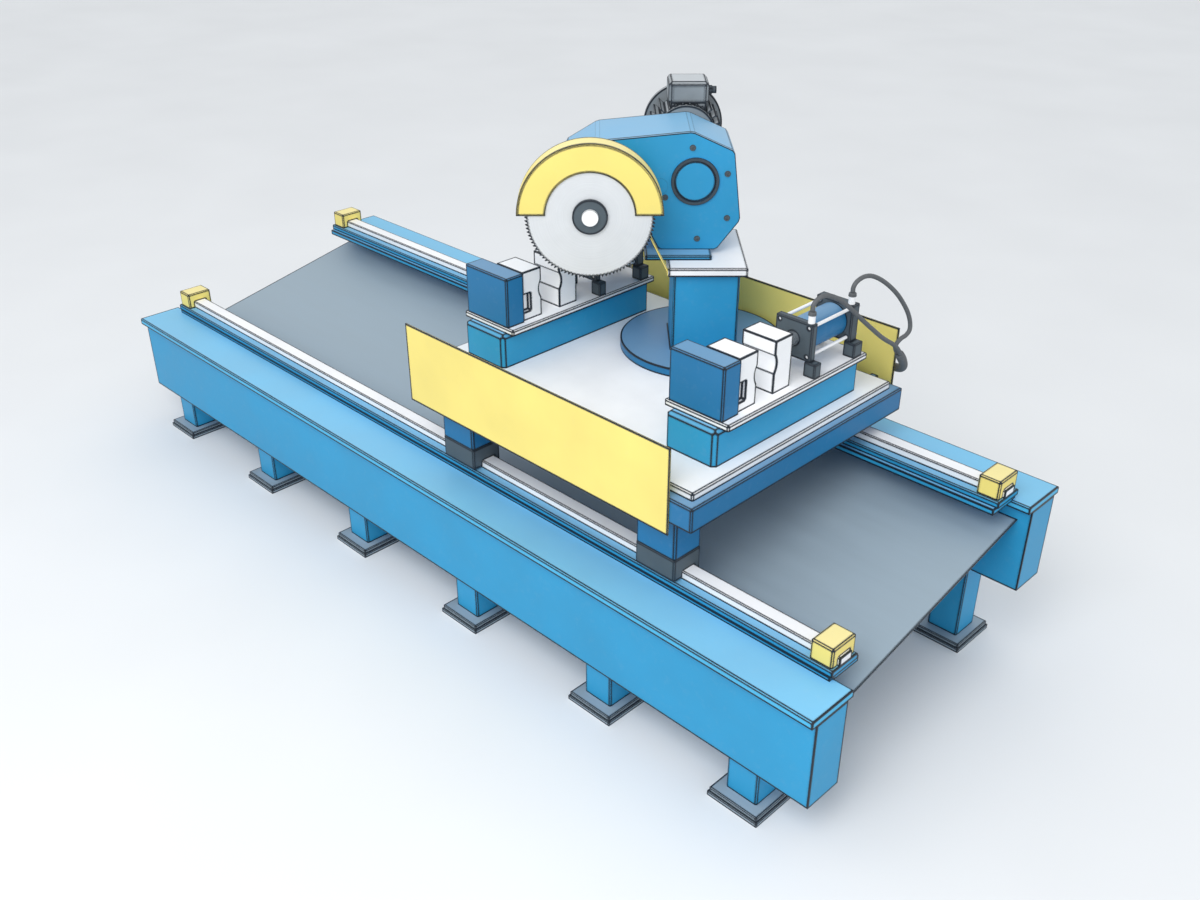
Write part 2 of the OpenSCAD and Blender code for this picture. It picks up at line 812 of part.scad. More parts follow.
module beam_caps() {
    color(beam_blue)
    both_beams()
    along_bed(bed_length)
    translate([beam_y - cap_width / 2, front_beam_z + beam_height])
    roof_rectangle(cap_width, cap_thickness, edge_bevel);
}

module rail_shelves() {
    inner = beam_gap / 2 - shelf_reach;
    cap_edge = beam_y - cap_width / 2;
    seat = rail_y + rail_plate_width / 2;
    color(beam_blue)
    both_beams()
    union() {
        along_bed(2 * rail_half - 20)
        polygon([
            [inner, shelf_top - shelf_lip_thickness], [cap_edge, shelf_top - shelf_lip_thickness],
            [cap_edge, cap_top], [seat, cap_top], [seat, shelf_top], [inner, shelf_top]
        ]);
        for (place = leg_places)
        translate([place - gusset_thickness / 2, 0, 0])
        rotate([90, 0, 90])
        linear_extrude(gusset_thickness)
        polygon([
            [inner + 20, shelf_top - shelf_lip_thickness],
            [beam_gap / 2, cap_top - cap_thickness - gusset_depth],
            [beam_gap / 2, cap_top - cap_thickness], [cap_edge, cap_top - cap_thickness],
            [cap_edge, shelf_top - shelf_lip_thickness]
        ]);
    }
}

module rail_plates() {
    color(beam_blue)
    both_beams()
    along_bed(2 * rail_half)
    translate([rail_y - rail_plate_width / 2, shelf_top])
    roof_rectangle(rail_plate_width, rail_plate_thickness, edge_bevel);
}

module rails() {
    color(plate_white)
    both_beams()
    along_bed(2 * rail_half)
    translate([rail_y - rail_width / 2, plate_top])
    roof_rectangle(rail_width, rail_height, 4);
}

module end_stops() {
    outer = bed_length / 2 - stop_end_gap;
    color(guard_yellow)
    both_beams()
    for (side = [0, 1])
    mirror([side, 0, 0])
    difference() {
        bevel_box(
            [outer - stop_length, rail_y - stop_width / 2, plate_top],
            [outer, rail_y + stop_width / 2, plate_top + stop_height]
        );
        block(
            [outer - stop_length - 1, rail_y - rail_width / 2, plate_top - 1],
            [outer + 1, rail_y + rail_width / 2, plate_top + rail_height]
        );
    }
}

module leg_tube(height) {
    translate([-leg_width / 2, -leg_width / 2, 0])
    difference() {
        linear_extrude(height) bevel_rectangle(leg_width, leg_width, edge_bevel);
        translate([leg_wall, leg_wall, leg_wall])
        cube([leg_width - 2 * leg_wall, leg_width - 2 * leg_wall, height - 2 * leg_wall]);
    }
}

module legs() {
    color(beam_blue)
    for (place = leg_places) {
        translate([place, -beam_y, pad_top]) leg_tube(front_beam_z - pad_top);
        translate([place, beam_y, pad_top]) leg_tube(front_beam_z + rear_rise - pad_top);
    }
}

module foot_plates() {
    color(sheet_grey)
    for (place = leg_places)
    for (side = [-1, 1])
    translate([place, side * beam_y, 0]) {
        bevel_box(
            [-foot_length / 2, -foot_width / 2, 0],
            [foot_length / 2, foot_width / 2, floor_plate_thickness],
            3
        );
        bevel_box(
            [-foot_length / 2 + leg_pad_inset, -foot_width / 2 + leg_pad_inset, floor_plate_thickness],
            [foot_length / 2 - leg_pad_inset, foot_width / 2 - leg_pad_inset, pad_top],
            3
        );
    }
}

module cross_ties() {
    half = beam_gap / 2;
    rib_top = tie_z + tie_height + tray_front_lift;
    color(beam_blue)
    for (place = leg_places)
    translate([place, 0, 0]) {
        block([-tie_width / 2, -half, tie_z], [tie_width / 2, half, tie_z + tie_height]);
        translate([-tray_rib_thickness / 2, 0, 0])
        rotate([90, 0, 90])
        linear_extrude(tray_rib_thickness)
        polygon([
            [-half + 20, tie_z + tie_height], [half - 20, tie_z + tie_height],
            [half - 20, rib_top + tray_rise * (1 - 20 / beam_gap)],
            [-half + 20, rib_top + tray_rise * 20 / beam_gap]
        ]);
    }
}

module tray_sheet() {
    half = beam_gap / 2;
    color(sheet_grey)
    along_bed(bed_length - 2 * tray_end_gap)
    polygon([
        [-half, tray_front_z], [half, tray_front_z + tray_rise],
        [half, tray_front_z + tray_rise + tray_thickness], [-half, tray_front_z + tray_thickness]
    ]);
}

// Carriage

module bearing_blocks() {
    color(slate)
    both_beams()
    for (place = vice_places)
    difference() {
        bevel_box(
            [place - block_length / 2, rail_y + 11 - block_width / 2, plate_top + block_lift],
            [place + block_length / 2, rail_y + 11 + block_width / 2, block_top]
        );
        block(
            [place - block_length, rail_y - rail_width / 2 - 0.2, plate_top],
            [place + block_length, rail_y + rail_width / 2 + 0.2, plate_top + rail_height + 0.2]
        );
    }
}

module carriage_legs() {
    color(frame_blue)
    for (place = vice_places)
    translate([place - block_length / 2, -rail_y - 11 - block_width / 2, block_top])
    difference() {
        linear_extrude(rear_rise) bevel_rectangle(block_length, block_width, 10);
        translate([frame_wall, frame_wall, frame_wall])
        cube([block_length - 2 * frame_wall, block_width - 2 * frame_wall, rear_rise - 2 * frame_wall]);
    }
}

// Hollow box with closed ends
module hollow_box(low, high, wall) {
    difference() {
        block(low, high);
        block(low + [wall, wall, wall], high - [wall, wall, wall]);
    }
}

module carriage_frame() {
    side = frame_depth / 2;
    inner = side - side_member_width;
    guide_clear = guide_radius + 8;
    color(frame_blue) {
        for (left = [frame_left, frame_right - end_box_length])
        difference() {
            bevel_box([left, -side, frame_z], [left + end_box_length, side, table_z]);
            block(
                [left + frame_wall, -side + frame_wall, frame_z + frame_wall],
                [left + end_box_length - frame_wall, side - frame_wall, table_z - frame_wall]
            );
        }
        for (member = [[-side, -inner], [inner, side]])
        hollow_box(
            [frame_left + end_box_length, member[0], frame_z],
            [frame_right - end_box_length, member[1], table_z],
            frame_wall
        );
        for (left = [turn_x - guide_clear - crossbeam_width, turn_x + guide_clear])
        hollow_box([left, -inner, frame_z], [left + crossbeam_width, inner, table_z], frame_wall);
        for (place = [-0.9, -0.34, 0.34, 0.8])
        translate([carriage_x + place * frame_length / 2 - guard_bracket_width / 2, 0, 0])
        block(
            [0, side, frame_z + guard_bracket_inset],
            [guard_bracket_width, rear_guard_y, table_z - guard_bracket_inset]
        );
    }
}

module table() {
    color(plate_white)
    difference() {
        bevel_box(
            [carriage_x - table_length / 2, -table_depth / 2, table_z],
            [carriage_x + table_length / 2, table_depth / 2, table_top]
        );
        translate([turn_x, turn_y, table_z - 1])
        cylinder(h = table_thickness + 2, r = spigot_radius + running_clearance);
    }
}

module guard_plates() {
    front = -frame_depth / 2;
    color(guard_yellow) {
        block(
            [frame_left + front_guard_insets[0], front - guard_plate_thickness, frame_z - front_guard_drop],
            [frame_right - front_guard_insets[1], front, frame_z - front_guard_drop + front_guard_height]
        );
        block(
            [frame_left + rear_guard_insets[0], rear_guard_y, frame_z - rear_guard_drop],
            [
                frame_right - rear_guard_insets[1],
                rear_guard_y + guard_plate_thickness,
                frame_z - rear_guard_drop + rear_guard_height
            ]
        );
    }
}

// Vices

module vice_pedestals() {
    half = pedestal_width / 2;
    color(beam_blue)
    both_vices()
    difference() {
        bevel_box([-half, pedestal_front, table_top], [half, pedestal_rear, pedestal_top], pedestal_bevel);
        block(
            [-half + pedestal_wall, pedestal_front + pedestal_wall, table_top + pedestal_wall],
            [
                half - pedestal_wall,
                pedestal_rear - pedestal_wall,
                pedestal_top - pedestal_bevel - pedestal_wall
            ]
        );
    }
}

module vice_plates() {
    half = vice_plate_width / 2;
    color(plate_white)
    both_vices()
    bevel_box([-half, vice_plate_front, pedestal_top], [half, pedestal_rear + 1, vice_top]);
}

module fixed_jaw_blocks() {
    color(frame_blue)
    both_vices()
    bevel_box(
        [-jaw_block_shift - jaw_block_width / 2, jaw_block_front, vice_top],
        [-jaw_block_shift + jaw_block_width / 2, jaw_block_back, vice_top + jaw_height]
    );
}

// Round seat for the tube, running through a jaw
module tube_seat() {
    translate([-jaw_width, tube_y, vice_top + tube_lift])
    rotate([0, 90, 0])
    cylinder(h = 2 * jaw_width, r = tube_radius);
}

module gripping_jaws() {
    half = jaw_width / 2;
    slot_z = vice_top + 50;
    color(plate_white)
    both_vices()
    translate([jaw_shift, 0, 0])
    difference() {
        block([-half, jaw_block_back, vice_top], [half, grip_y, vice_top + jaw_height]);
        tube_seat();
        block([half - 25, jaw_block_back - 1, slot_z], [half + 1, jaw_block_back + 58, slot_z + slot_height]);
    }
}

module moving_jaw() {
    half = jaw_width / 2;
    color(plate_white)
    translate([jaw_shift, 0, 0])
    difference() {
        block([-half, moving_grip_y, vice_top + jaw_clearance], [half, moving_back_y, vice_top + jaw_height]);
        tube_seat();
    }
}

module piston_rod() {
    color(steel)
    translate([jaw_shift, 0, cylinder_z])
    rotate([-90, 0, 0]) {
        translate([0, 0, moving_back_y]) cylinder(h = piston_y - moving_back_y, r = rod_radius);
        translate([0, 0, piston_y])
        cylinder(h = piston_length, r = barrel_radius - barrel_wall - running_clearance);
    }
}

module left_moving_jaw() {
    translate([vice_places[0], 0, 0]) moving_jaw();
}

module left_piston_rod() {
    translate([vice_places[0], 0, 0]) piston_rod();
}

module right_moving_jaw() {
    translate([vice_places[1], 0, 0]) moving_jaw();
}

module right_piston_rod() {
    translate([vice_places[1], 0, 0]) piston_rod();
}

// Rod along Y beside the cylinder axis
module cylinder_rod(offset_x, offset_z, from_y, to_y, radius) {
    translate([jaw_shift + offset_x, from_y, cylinder_z + offset_z])
    rotate([-90, 0, 0])
    cylinder(h = to_y - from_y, r = radius);
}

// Corner places of the tie rods
module tie_rod_places() {
    for (side = [-1, 1])
    for (level = [-1, 1])
    translate([side * tie_rod_x, 0, level * tie_rod_z])
    children();
}

// One end plate of a clamp cylinder on its two foot blocks, bored for the tie rods
module end_plate(front, thickness) {
    half = head_width / 2;
    difference() {
        bevel_box(
            [jaw_shift - half, front, head_z],
            [jaw_shift + half, front + thickness, head_z + head_height],
            5
        );
        tie_rod_places() cylinder_rod(0, 0, front - 1, front + thickness + 1, tie_rod_radius);
    }
    for (side = [-1, 1])
    translate([jaw_shift + side * (half + foot_block_reach - foot_block_width / 2), 0, 0])
    bevel_box(
        [-foot_block_width / 2, front - 6, vice_top],
        [foot_block_width / 2, front + thickness + 6, head_z],
        4
    );
}

module cylinder_heads() {
    color(slate)
    both_vices() {
        difference() {
            end_plate(cylinder_front, head_thickness);
            cylinder_rod(
                0, 0, cylinder_front - 1, cylinder_front + head_thickness + 1, rod_radius + running_clearance
            );
        }
        end_plate(cylinder_rear, rear_head_thickness);
    }
}

module cylinder_barrels() {
    start = cylinder_front + head_thickness;
    color(frame_blue)
    both_vices()
    difference() {
        cylinder_rod(0, 0, start, cylinder_rear, barrel_radius);
        cylinder_rod(0, 0, start - 1, cylinder_rear + 1, barrel_radius - barrel_wall);
    }
}

module tie_rods() {
    back = cylinder_rear + rear_head_thickness;
    color(plate_white)
    both_vices()
    tie_rod_places() {
        cylinder_rod(0, 0, cylinder_front + 6, back + 12, tie_rod_radius);
        translate([jaw_shift, back, cylinder_z])
        rotate([-90, 0, 0])
        cylinder(h = 14, r = 1.8 * tie_rod_radius, $fn = 6);
    }
}

// Ports on top of the right cylinder's end plates and on the left side of the left cylinder's
module port_places() {
    for (y = port_y) {
        translate([vice_places[1] + jaw_shift + port_x, y, head_z + head_height]) children();
        translate([vice_places[0] + jaw_shift - head_width / 2, y, cylinder_z])
        rotate([0, -90, 0])
        children();
    }
}

module hose_ports() {
    color(plate_white) port_places() cylinder(h = port_length, r = port_radius);
}

module hoses() {
    color(hose_grey) {
        port_places() translate([0, 0, port_length]) cylinder(h = ferrule_length, r = ferrule_radius);
        swept_tube(right_front_route, hose_radius, [1, 0, 0]);
        swept_tube(right_rear_route, hose_radius, [1, 0, 0]);
        swept_tube(left_front_route, hose_radius, [0, 0, 1]);
        swept_tube(left_rear_route, hose_radius, [0, 0, 1]);
    }
}

module hose_sleeves() {
    color(hose_grey) {
        swept_tube(right_sleeve_route, sleeve_radius, [0, 0.8, 0.6], 12);
        swept_tube(left_sleeve_route, sleeve_radius, [1, 0, 0], 12);
    }
}

// Block with a supply port in its left face
module manifold() {
    difference() {
        block([0, 0, 0], [manifold_width, manifold_depth, manifold_height]);
        translate([-1, manifold_depth / 2, manifold_height / 2])
        rotate([0, 90, 0])
        cylinder(h = supply_port_depth + 1, r = supply_port_radius);
    }
}

module manifolds() {
    color(slate) {
        translate([
            carriage_x - table_length / 2 + left_manifold_insets[0],
            table_depth / 2 - left_manifold_insets[1] - manifold_depth,
            table_top
        ])
        manifold();
        translate([
            frame_right - rear_guard_insets[1] - right_manifold_inset - manifold_width,
            rear_guard_y + guard_plate_thickness,
            frame_z - rear_guard_drop + right_manifold_lift
        ])
        manifold();
    }
}

// Turntable and ram

module turntable() {
    color(beam_blue)
    translate([turn_x, turn_y, 0])
    difference() {
        union() {
            translate([0, 0, table_top + disc_gap]) cylinder(h = disc_thickness, r = disc_radius);
            translate([0, 0, table_z]) cylinder(h = table_thickness + disc_gap, r = spigot_radius);
        }
        translate([0, 0, table_z - 1]) cylinder(h = table_thickness + 1 + disc_gap, r = spigot_inner_radius);
        rotate([0, 0, swivel_rest])
        translate([-guide_hole / 2, -guide_hole / 2, table_z])
        cube([guide_hole, guide_hole, table_thickness + disc_thickness + 10]);
    }
}

module ram_guide() {
    floor_z = guide_bottom + guide_base;
    bore = post_side - 2 * post_wall;
    color(slate)
    translate([turn_x, turn_y, 0])
    difference() {
        translate([0, 0, guide_bottom]) cylinder(h = guide_depth + disc_gap, r = guide_radius);
        rotate([0, 0, swivel_rest])
        translate([-guide_hole / 2, -guide_hole / 2, floor_z])
        cube([guide_hole, guide_hole, guide_depth]);
    }
    color(slate)
    on_turntable()
    difference() {
        block([-post_side / 2, -post_side / 2, floor_z - 1], [post_side / 2, post_side / 2, post_top]);
        block([-bore / 2, -bore / 2, floor_z - 2], [bore / 2, bore / 2, post_top + 1]);
    }
}

module lift_cylinder() {
    color(slate)
    translate([turn_x, turn_y, lift_z])
    difference() {
        cylinder(h = lift_length, r = lift_radius);
        translate([0, 0, lift_wall]) cylinder(h = lift_length - 2 * lift_wall, r = lift_bore);
        translate([0, 0, lift_wall]) cylinder(h = lift_length, r = lift_rod_radius + running_clearance);
    }
}

module lift_rod() {
    rod_bottom = lift_z + lift_length - lift_wall - lift_piston_length - 4;
    color(steel)
    translate([turn_x, turn_y, rod_bottom]) {
        cylinder(h = lift_piston_length, r = lift_bore - running_clearance);
        cylinder(h = lift_rod_top - rod_bottom, r = lift_rod_radius);
    }
}

module ram() {
    hollow = ram_side - 2 * ram_wall;
    color(beam_blue)
    on_turntable()
    translate([-ram_side / 2, -ram_side / 2, ram_top - ram_length])
    difference() {
        linear_extrude(ram_length) bevel_rectangle(ram_side, ram_side, ram_bevel);
        translate([ram_wall, ram_wall, -1]) cube([hollow, hollow, ram_length - ram_wall + 1]);
    }
}

module head_plate() {
    color(plate_white)
    on_turntable()
    bevel_box(
        [-head_plate_reach[0], -head_plate_reach[2], ram_top],
        [head_plate_reach[1], head_plate_reach[3], head_plate_top]
    );
}

module saddle_plate() {
    color(beam_blue)
    on_turntable()
    bevel_box(
        [-saddle_reach[0], -saddle_reach[2], head_plate_top],
        [saddle_reach[1], saddle_reach[3], saddle_top]
    );
}

module chip_deflector() {
    left = -head_plate_reach[0];
    front = head_plate_reach[2] - edge_bevel;
    color(guard_yellow)
    on_turntable()
    head_slice(front - deflector_width, front)
    polygon([
        [left, ram_top + 4], [left - deflector_thickness, ram_top + 4],
        [left - deflector_thickness, ram_top + 26], [left - 113, ram_top + 238],
        [left - 106, ram_top + 242], [left, ram_top + 32]
    ]);
}

// Head

module gearbox_casing() {
    inner = drawn_in(gearbox_outline, gearbox_wall);
    color(head_blue)
    on_turntable()
    difference() {
        union() {
            difference() {
                head_slice(-gearbox_depth, -cover_thickness) polygon(cut_outline);
                head_slice(-gearbox_depth + back_wall, -cover_thickness + 1) polygon(inner);
            }
            for (at = [first_at, second_at])
            head_rod(
                at,
                -gearbox_depth + 1,
                -gearbox_depth + back_wall + bearing_length,
                gear_bearing_radius + boss_wall
            );
            head_rod(
                spindle_at, -gearbox_depth + 1, -gearbox_depth + back_wall + spindle_bearing_length,
                spindle_bearing_radius + boss_wall
            );
            head_rod(idler_at, -gearbox_depth + 1, -gear_front(2) - gear_width - 0.2, gear_shaft_radius + 10);
            head_rod(idler_at, -gearbox_depth + 1, -gear_front(2) + 2, gear_shaft_radius);
        }
        for (at = [first_at, second_at])
        head_rod(at, -gearbox_depth + back_wall, -cover_thickness, gear_bearing_radius);
        head_rod(spindle_at, -gearbox_depth + back_wall, -cover_thickness, spindle_bearing_radius);
        head_rod(motor_at, -gearbox_depth - 1, -cover_thickness, motor_shaft_radius + 6);
    }
}

module gearbox_cover() {
    color(head_blue)
    on_turntable()
    difference() {
        union() {
            head_slice(-cover_thickness, 0) polygon(cut_outline);
            for (at = [first_at, second_at])
            head_rod(at, -cover_thickness - bearing_length / 2, -1, gear_bearing_radius + boss_wall);
        }
        head_rod(first_at, -cover_thickness - bearing_length, 1, gear_bearing_radius);
        head_rod(
            second_at,
            -cover_thickness - bearing_length,
            -cover_thickness + bearing_length / 2,
            gear_bearing_radius
        );
        head_rod(spindle_at, -cover_thickness - 1, 1, spindle_radius + 10);
        for (place = cover_screw_places)
        head_rod(first_at + place, -cover_thickness - 1, 1, screw_radius);
    }
}

module bearing_cover() {
    color(head_blue)
    on_turntable()
    difference() {
        head_rod(first_at, 0, bearing_cover_thickness, bearing_cover_radius);
        head_rod(
            first_at,
            bearing_cover_thickness / 2,
            bearing_cover_thickness + 1,
            bearing_cover_radius - bearing_cover_rim
        );
    }
}

module cover_screws() {
    color(slate)
    on_turntable()
    for (place = cover_screw_places) {
        head_rod(first_at + place, -cover_thickness, 1, screw_radius);
        head_rod(first_at + place, 0, screw_head_height, screw_head_radius);
    }
}

module quill() {
    color(head_blue)
    on_turntable()
    difference() {
        union() {
            head_rod(spindle_at, 0, 18, quill_flange_radius);
            head_rod(spindle_at, 0, quill_length, quill_radius);
        }
        head_rod(spindle_at, -1, quill_length + 1, spindle_bearing_radius);
    }
}

// Bearing between a shaft and its seat
module bearing(at, back, length, bore, outer) {
    difference() {
        head_rod(at, back, back + length, outer);
        head_rod(at, back - 1, back + length + 1, bore + running_clearance);
    }
}

module bearings() {
    wall_face = -gearbox_depth + back_wall;
    color(steel)
    on_turntable() {
        for (at = [first_at, second_at]) {
            bearing(at, wall_face, bearing_length, gear_shaft_radius, gear_bearing_radius);
            bearing(
            at,
            -cover_thickness - bearing_length / 2,
            bearing_length,
            gear_shaft_radius,
            gear_bearing_radius
        );
        }
        bearing(spindle_at, wall_face, spindle_bearing_length, spindle_radius, spindle_bearing_radius);
        for (back = [6, quill_length - spindle_bearing_length - 6])
        bearing(spindle_at, back, spindle_bearing_length, spindle_radius, spindle_bearing_radius);
    }
}

// Upper half of a ring in the plane of the blade
module half_ring(inner, outer) {
    translate(spindle_at)
    intersection() {
        difference() {
            circle(r = outer, $fn = 180);
            circle(r = inner, $fn = 120);
        }
        translate([-outer - 1, 5]) square([2 * outer + 2, outer + 2]);
    }
}

module blade_guard() {
    front = quill_length + guard_depth;
    color(guard_yellow)
    on_turntable() {
        head_slice(front - guard_sheet, front) half_ring(guard_opening_radius, guard_radius);
        head_slice(quill_length, front - guard_sheet) half_ring(guard_radius - guard_sheet, guard_radius);
        head_slice(quill_length, quill_length + guard_sheet)
        half_ring(spindle_radius + 20, guard_radius - guard_sheet);
    }
}

// Motor

module motor_housing() {
    color(motor_grey)
    on_turntable()
    difference() {
        union() {
            head_rod(motor_at, -housing_back, -housing_front, motor_radius);
            head_slice(-housing_back, -housing_front)
            translate(motor_at)
            for (i = [0 : fin_count - 1])
            let (
                angle = (i + 0.5) * 360 / fin_count,
                top = sin(angle) < 0.8 ? motor_fin_radius : box_seat
            )
            rotate(angle)
            translate([motor_radius - 4, -fin_thickness / 2])
            square([top - motor_radius + 4, fin_thickness]);
            head_slice(-box_front - box_length + 12, -box_front - 12)
            translate(motor_at + [box_shift - box_width / 2 + 14, 0])
            square([box_width - 28, box_seat]);
        }
        head_rod(motor_at, -housing_back - 1, -housing_front + 1, motor_radius - motor_wall);
    }
}

module motor_shields() {
    color(motor_grey)
    on_turntable() {
        difference() {
            head_rod(motor_at, -housing_front, -motor_front, front_shield_radius);
            head_rod(motor_at, -housing_front - 1, -motor_front + 1, motor_shaft_radius + running_clearance);
        }
        difference() {
            head_rod(motor_at, -rear_shield_back, -housing_back, rear_shield_radius);
            head_rod(
                motor_at,
                -rear_shield_back - 1,
                -housing_back - rear_shield_thickness / 2,
                fan_cover_radius + 0.3
            );
            head_rod(
                motor_at,
                -rear_shield_back - 1,
                -housing_back + 1,
                motor_shaft_radius + running_clearance
            );
        }
    }
}

module fan_cover() {
    start = housing_back + rear_shield_thickness / 2;
    end = start + fan_cover_length + rear_shield_thickness / 2;
    inner = fan_cover_radius - fan_cover_sheet;
    color(motor_grey)
    on_turntable()
    translate([motor_at.x, start, motor_at.y])
    rotate([-90, 0, 0])
    difference() {
        rotate_extrude()
        polygon([
            [0, end - start], [fan_cover_radius - fan_cover_taper, end - start], [fan_cover_radius, 0],
            [inner, 0],
            [inner - fan_cover_taper, end - start - fan_cover_sheet],
            [0, end - start - fan_cover_sheet]
        ]);
        for (row = [[50, 8], [85, 14], [120, 20]])
        for (i = [0 : row[1] - 1])
        rotate(i * 360 / row[1])
        translate([row[0], 0, 0])
        cylinder(h = end - start + 1, r = 7, $fn = 24);
    }
}

module stator() {
    color(slate)
    on_turntable()
    difference() {
        head_rod(motor_at, -stator_front - stator_length, -stator_front, motor_radius - motor_wall);
        head_rod(motor_at, -stator_front - stator_length - 1, -stator_front + 1, rotor_radius + air_gap);
    }
}

module terminal_box() {
    low = motor_at + [box_shift - box_width / 2, box_seat];
    back = box_front + box_length;
    color(motor_grey)
    on_turntable() {
        difference() {
            translate([low.x, box_front, low.y])
            linear_extrude(box_height)
            bevel_rectangle(box_width, box_length, box_bevel);
            translate([low.x + box_wall, box_front + box_wall, low.y + box_wall])
            linear_extrude(box_height)
            bevel_rectangle(box_width - 2 * box_wall, box_length - 2 * box_wall, box_bevel);
            translate([low.x + box_width - box_wall - 1, (box_front + back) / 2, low.y + box_height / 2])
            rotate([0, 90, 0])
            cylinder(h = box_wall + 2, r = gland_bore);
        }
        bevel_box(
            [low.x, box_front, low.y + box_height],
            [low.x + box_width, back, low.y + box_height + lid_thickness],
            min(box_bevel, lid_thickness - 2)
        );
    }
}

module cable_gland() {
    low = motor_at + [box_shift + box_width / 2, box_seat];
    color(slate)
    on_turntable()
    translate([low.x, box_front + box_length / 2, low.y + box_height / 2])
    rotate([0, 90, 0])
    difference() {
        union() {
            cylinder(h = gland_length / 2, r = gland_radius, $fn = 6);
            cylinder(h = gland_length, r = gland_radius - 5);
        }
        translate([0, 0, -1]) cylinder(h = gland_length + 2, r = gland_bore);
    }
}

module motor_rotor() {
    front = -gear_front(0);
    color(steel)
    on_turntable() {
        head_rod(motor_at, -rear_shield_back - 30, front - gear_width / 2, motor_shaft_radius);
        head_rod(motor_at, -stator_front - stator_length, -stator_front, rotor_radius);
        gear(motor_at, motor_pinion_teeth, 0);
    }
}

module motor_fan() {
    back = rear_shield_back + 28;
    color(slate)
    on_turntable() {
        difference() {
            head_rod(motor_at, -back, -rear_shield_back - 4, motor_shaft_radius + 16);
            head_rod(motor_at, -back - 1, -rear_shield_back, motor_shaft_radius);
        }
        for (i = [0 : 6])
        translate([motor_at.x, back, motor_at.y])
        rotate([90, i * 360 / 7, 0])
        translate([motor_shaft_radius + 12, -2, 0])
        cube([fan_radius - motor_shaft_radius - 12, 4, 22]);
    }
}

// Blade and gear shafts

module spindle() {
    color(steel)
    on_turntable() {
        head_rod(spindle_at, -gearbox_depth + back_wall + 2, blade_front - flange_thickness, spindle_radius);
        head_rod(spindle_at, blade_front - flange_thickness, blade_front, flange_radius);
        head_rod(spindle_at, blade_front - 1, flange_front + nut_thickness - 4, nose_radius);
        gear(spindle_at, spindle_teeth, 2);
    }
}

module saw_blade() {
    step = 360 / blade_teeth;
    root = blade_radius - blade_tooth_depth;
    color(steel)
    on_turntable()
    head_slice(blade_front, blade_front + blade_thickness)
    translate(spindle_at)
    difference() {
        polygon([
            for (i = [0 : blade_teeth - 1])
            for (corner = [[0, root], [0.1, blade_radius], [0.3, blade_radius - 2], [0.72, root]])
            let (angle = (i + corner[0]) * step)
            corner[1] * [cos(angle), sin(angle)]
        ]);
        circle(r = nose_radius);
    }
}

module outer_flange() {
    color(slate)
    on_turntable()
    difference() {
        head_rod(spindle_at, blade_front + blade_thickness, flange_front, flange_radius);
        head_rod(spindle_at, blade_front, flange_front + 1, nose_radius);
    }
}

module spindle_nut() {
    color(plate_white)
    on_turntable()
    difference() {
        head_rod(spindle_at, flange_front, flange_front + nut_thickness, nut_radius);
        head_rod(spindle_at, flange_front - 1, flange_front + nut_thickness - 4, nose_radius);
    }
}

module gear_shaft(at, wheel, wheel_stage, pinion, pinion_stage) {
    head_rod(
        at, -gearbox_depth + back_wall + 2, -cover_thickness + bearing_length / 2 - 2, gear_shaft_radius
    );
    gear(at, wheel, wheel_stage);
    gear(at, pinion, pinion_stage);
}

module first_gear_shaft() {
    color(steel) on_turntable() gear_shaft(first_at, first_wheel_teeth, 0, second_pinion_teeth, 1);
}

module second_gear_shaft() {
    color(steel) on_turntable() gear_shaft(second_at, second_wheel_teeth, 1, third_pinion_teeth, 2);
}

module idler_wheel() {
    color(steel)
    on_turntable()
    difference() {
        gear(idler_at, idler_teeth, 2);
        head_rod(idler_at, -gearbox_depth, 0, gear_shaft_radius + running_clearance);
    }
}

beams();
beam_caps();
rail_shelves();
rail_plates();
rails();
end_stops();
legs();
foot_plates();
cross_ties();
tray_sheet();
bearing_blocks();
carriage_legs();
carriage_frame();
table();
guard_plates();
vice_pedestals();
vice_plates();
fixed_jaw_blocks();
gripping_jaws();
cylinder_heads();
cylinder_barrels();
tie_rods();
hose_ports();
hoses();
hose_sleeves();
manifolds();
left_moving_jaw();
left_piston_rod();
right_moving_jaw();
right_piston_rod();
turntable();
ram_guide();
lift_cylinder();
ram();
lift_rod();
head_plate();
chip_deflector();
saddle_plate();
gearbox_casing();
gearbox_cover();
bearing_cover();
cover_screws();
quill();
bearings();
blade_guard();
motor_housing();
motor_shields();
fan_cover();
stator();
terminal_box();
cable_gland();
spindle();
saw_blade();
outer_flange();
spindle_nut();
first_gear_shaft();
second_gear_shaft();
idler_wheel();
motor_rotor();
motor_fan();
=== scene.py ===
# Travelling cold saw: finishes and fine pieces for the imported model.
# Laid out as an add-on and run as a script.

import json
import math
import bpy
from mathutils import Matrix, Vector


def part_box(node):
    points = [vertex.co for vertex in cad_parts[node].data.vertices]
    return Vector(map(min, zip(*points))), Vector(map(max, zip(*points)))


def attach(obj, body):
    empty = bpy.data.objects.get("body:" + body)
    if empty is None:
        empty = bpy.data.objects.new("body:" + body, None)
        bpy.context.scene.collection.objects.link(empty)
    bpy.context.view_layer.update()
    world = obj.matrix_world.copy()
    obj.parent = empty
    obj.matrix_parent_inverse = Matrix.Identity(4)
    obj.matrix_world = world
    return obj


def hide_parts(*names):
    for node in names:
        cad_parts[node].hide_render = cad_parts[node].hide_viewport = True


bl_info = {
    "name": "Travelling cold saw",
    "version": (1, 0, 0),
    "blender": (4, 5, 0),
    "location": "View3D > Sidebar > Saw",
    "description": "Finishes and fine pieces of a travelling cold saw on its slanted bed",
    "category": "Object",
}

import bpy
import numpy as np
from bpy.props import FloatProperty, FloatVectorProperty, IntProperty, PointerProperty

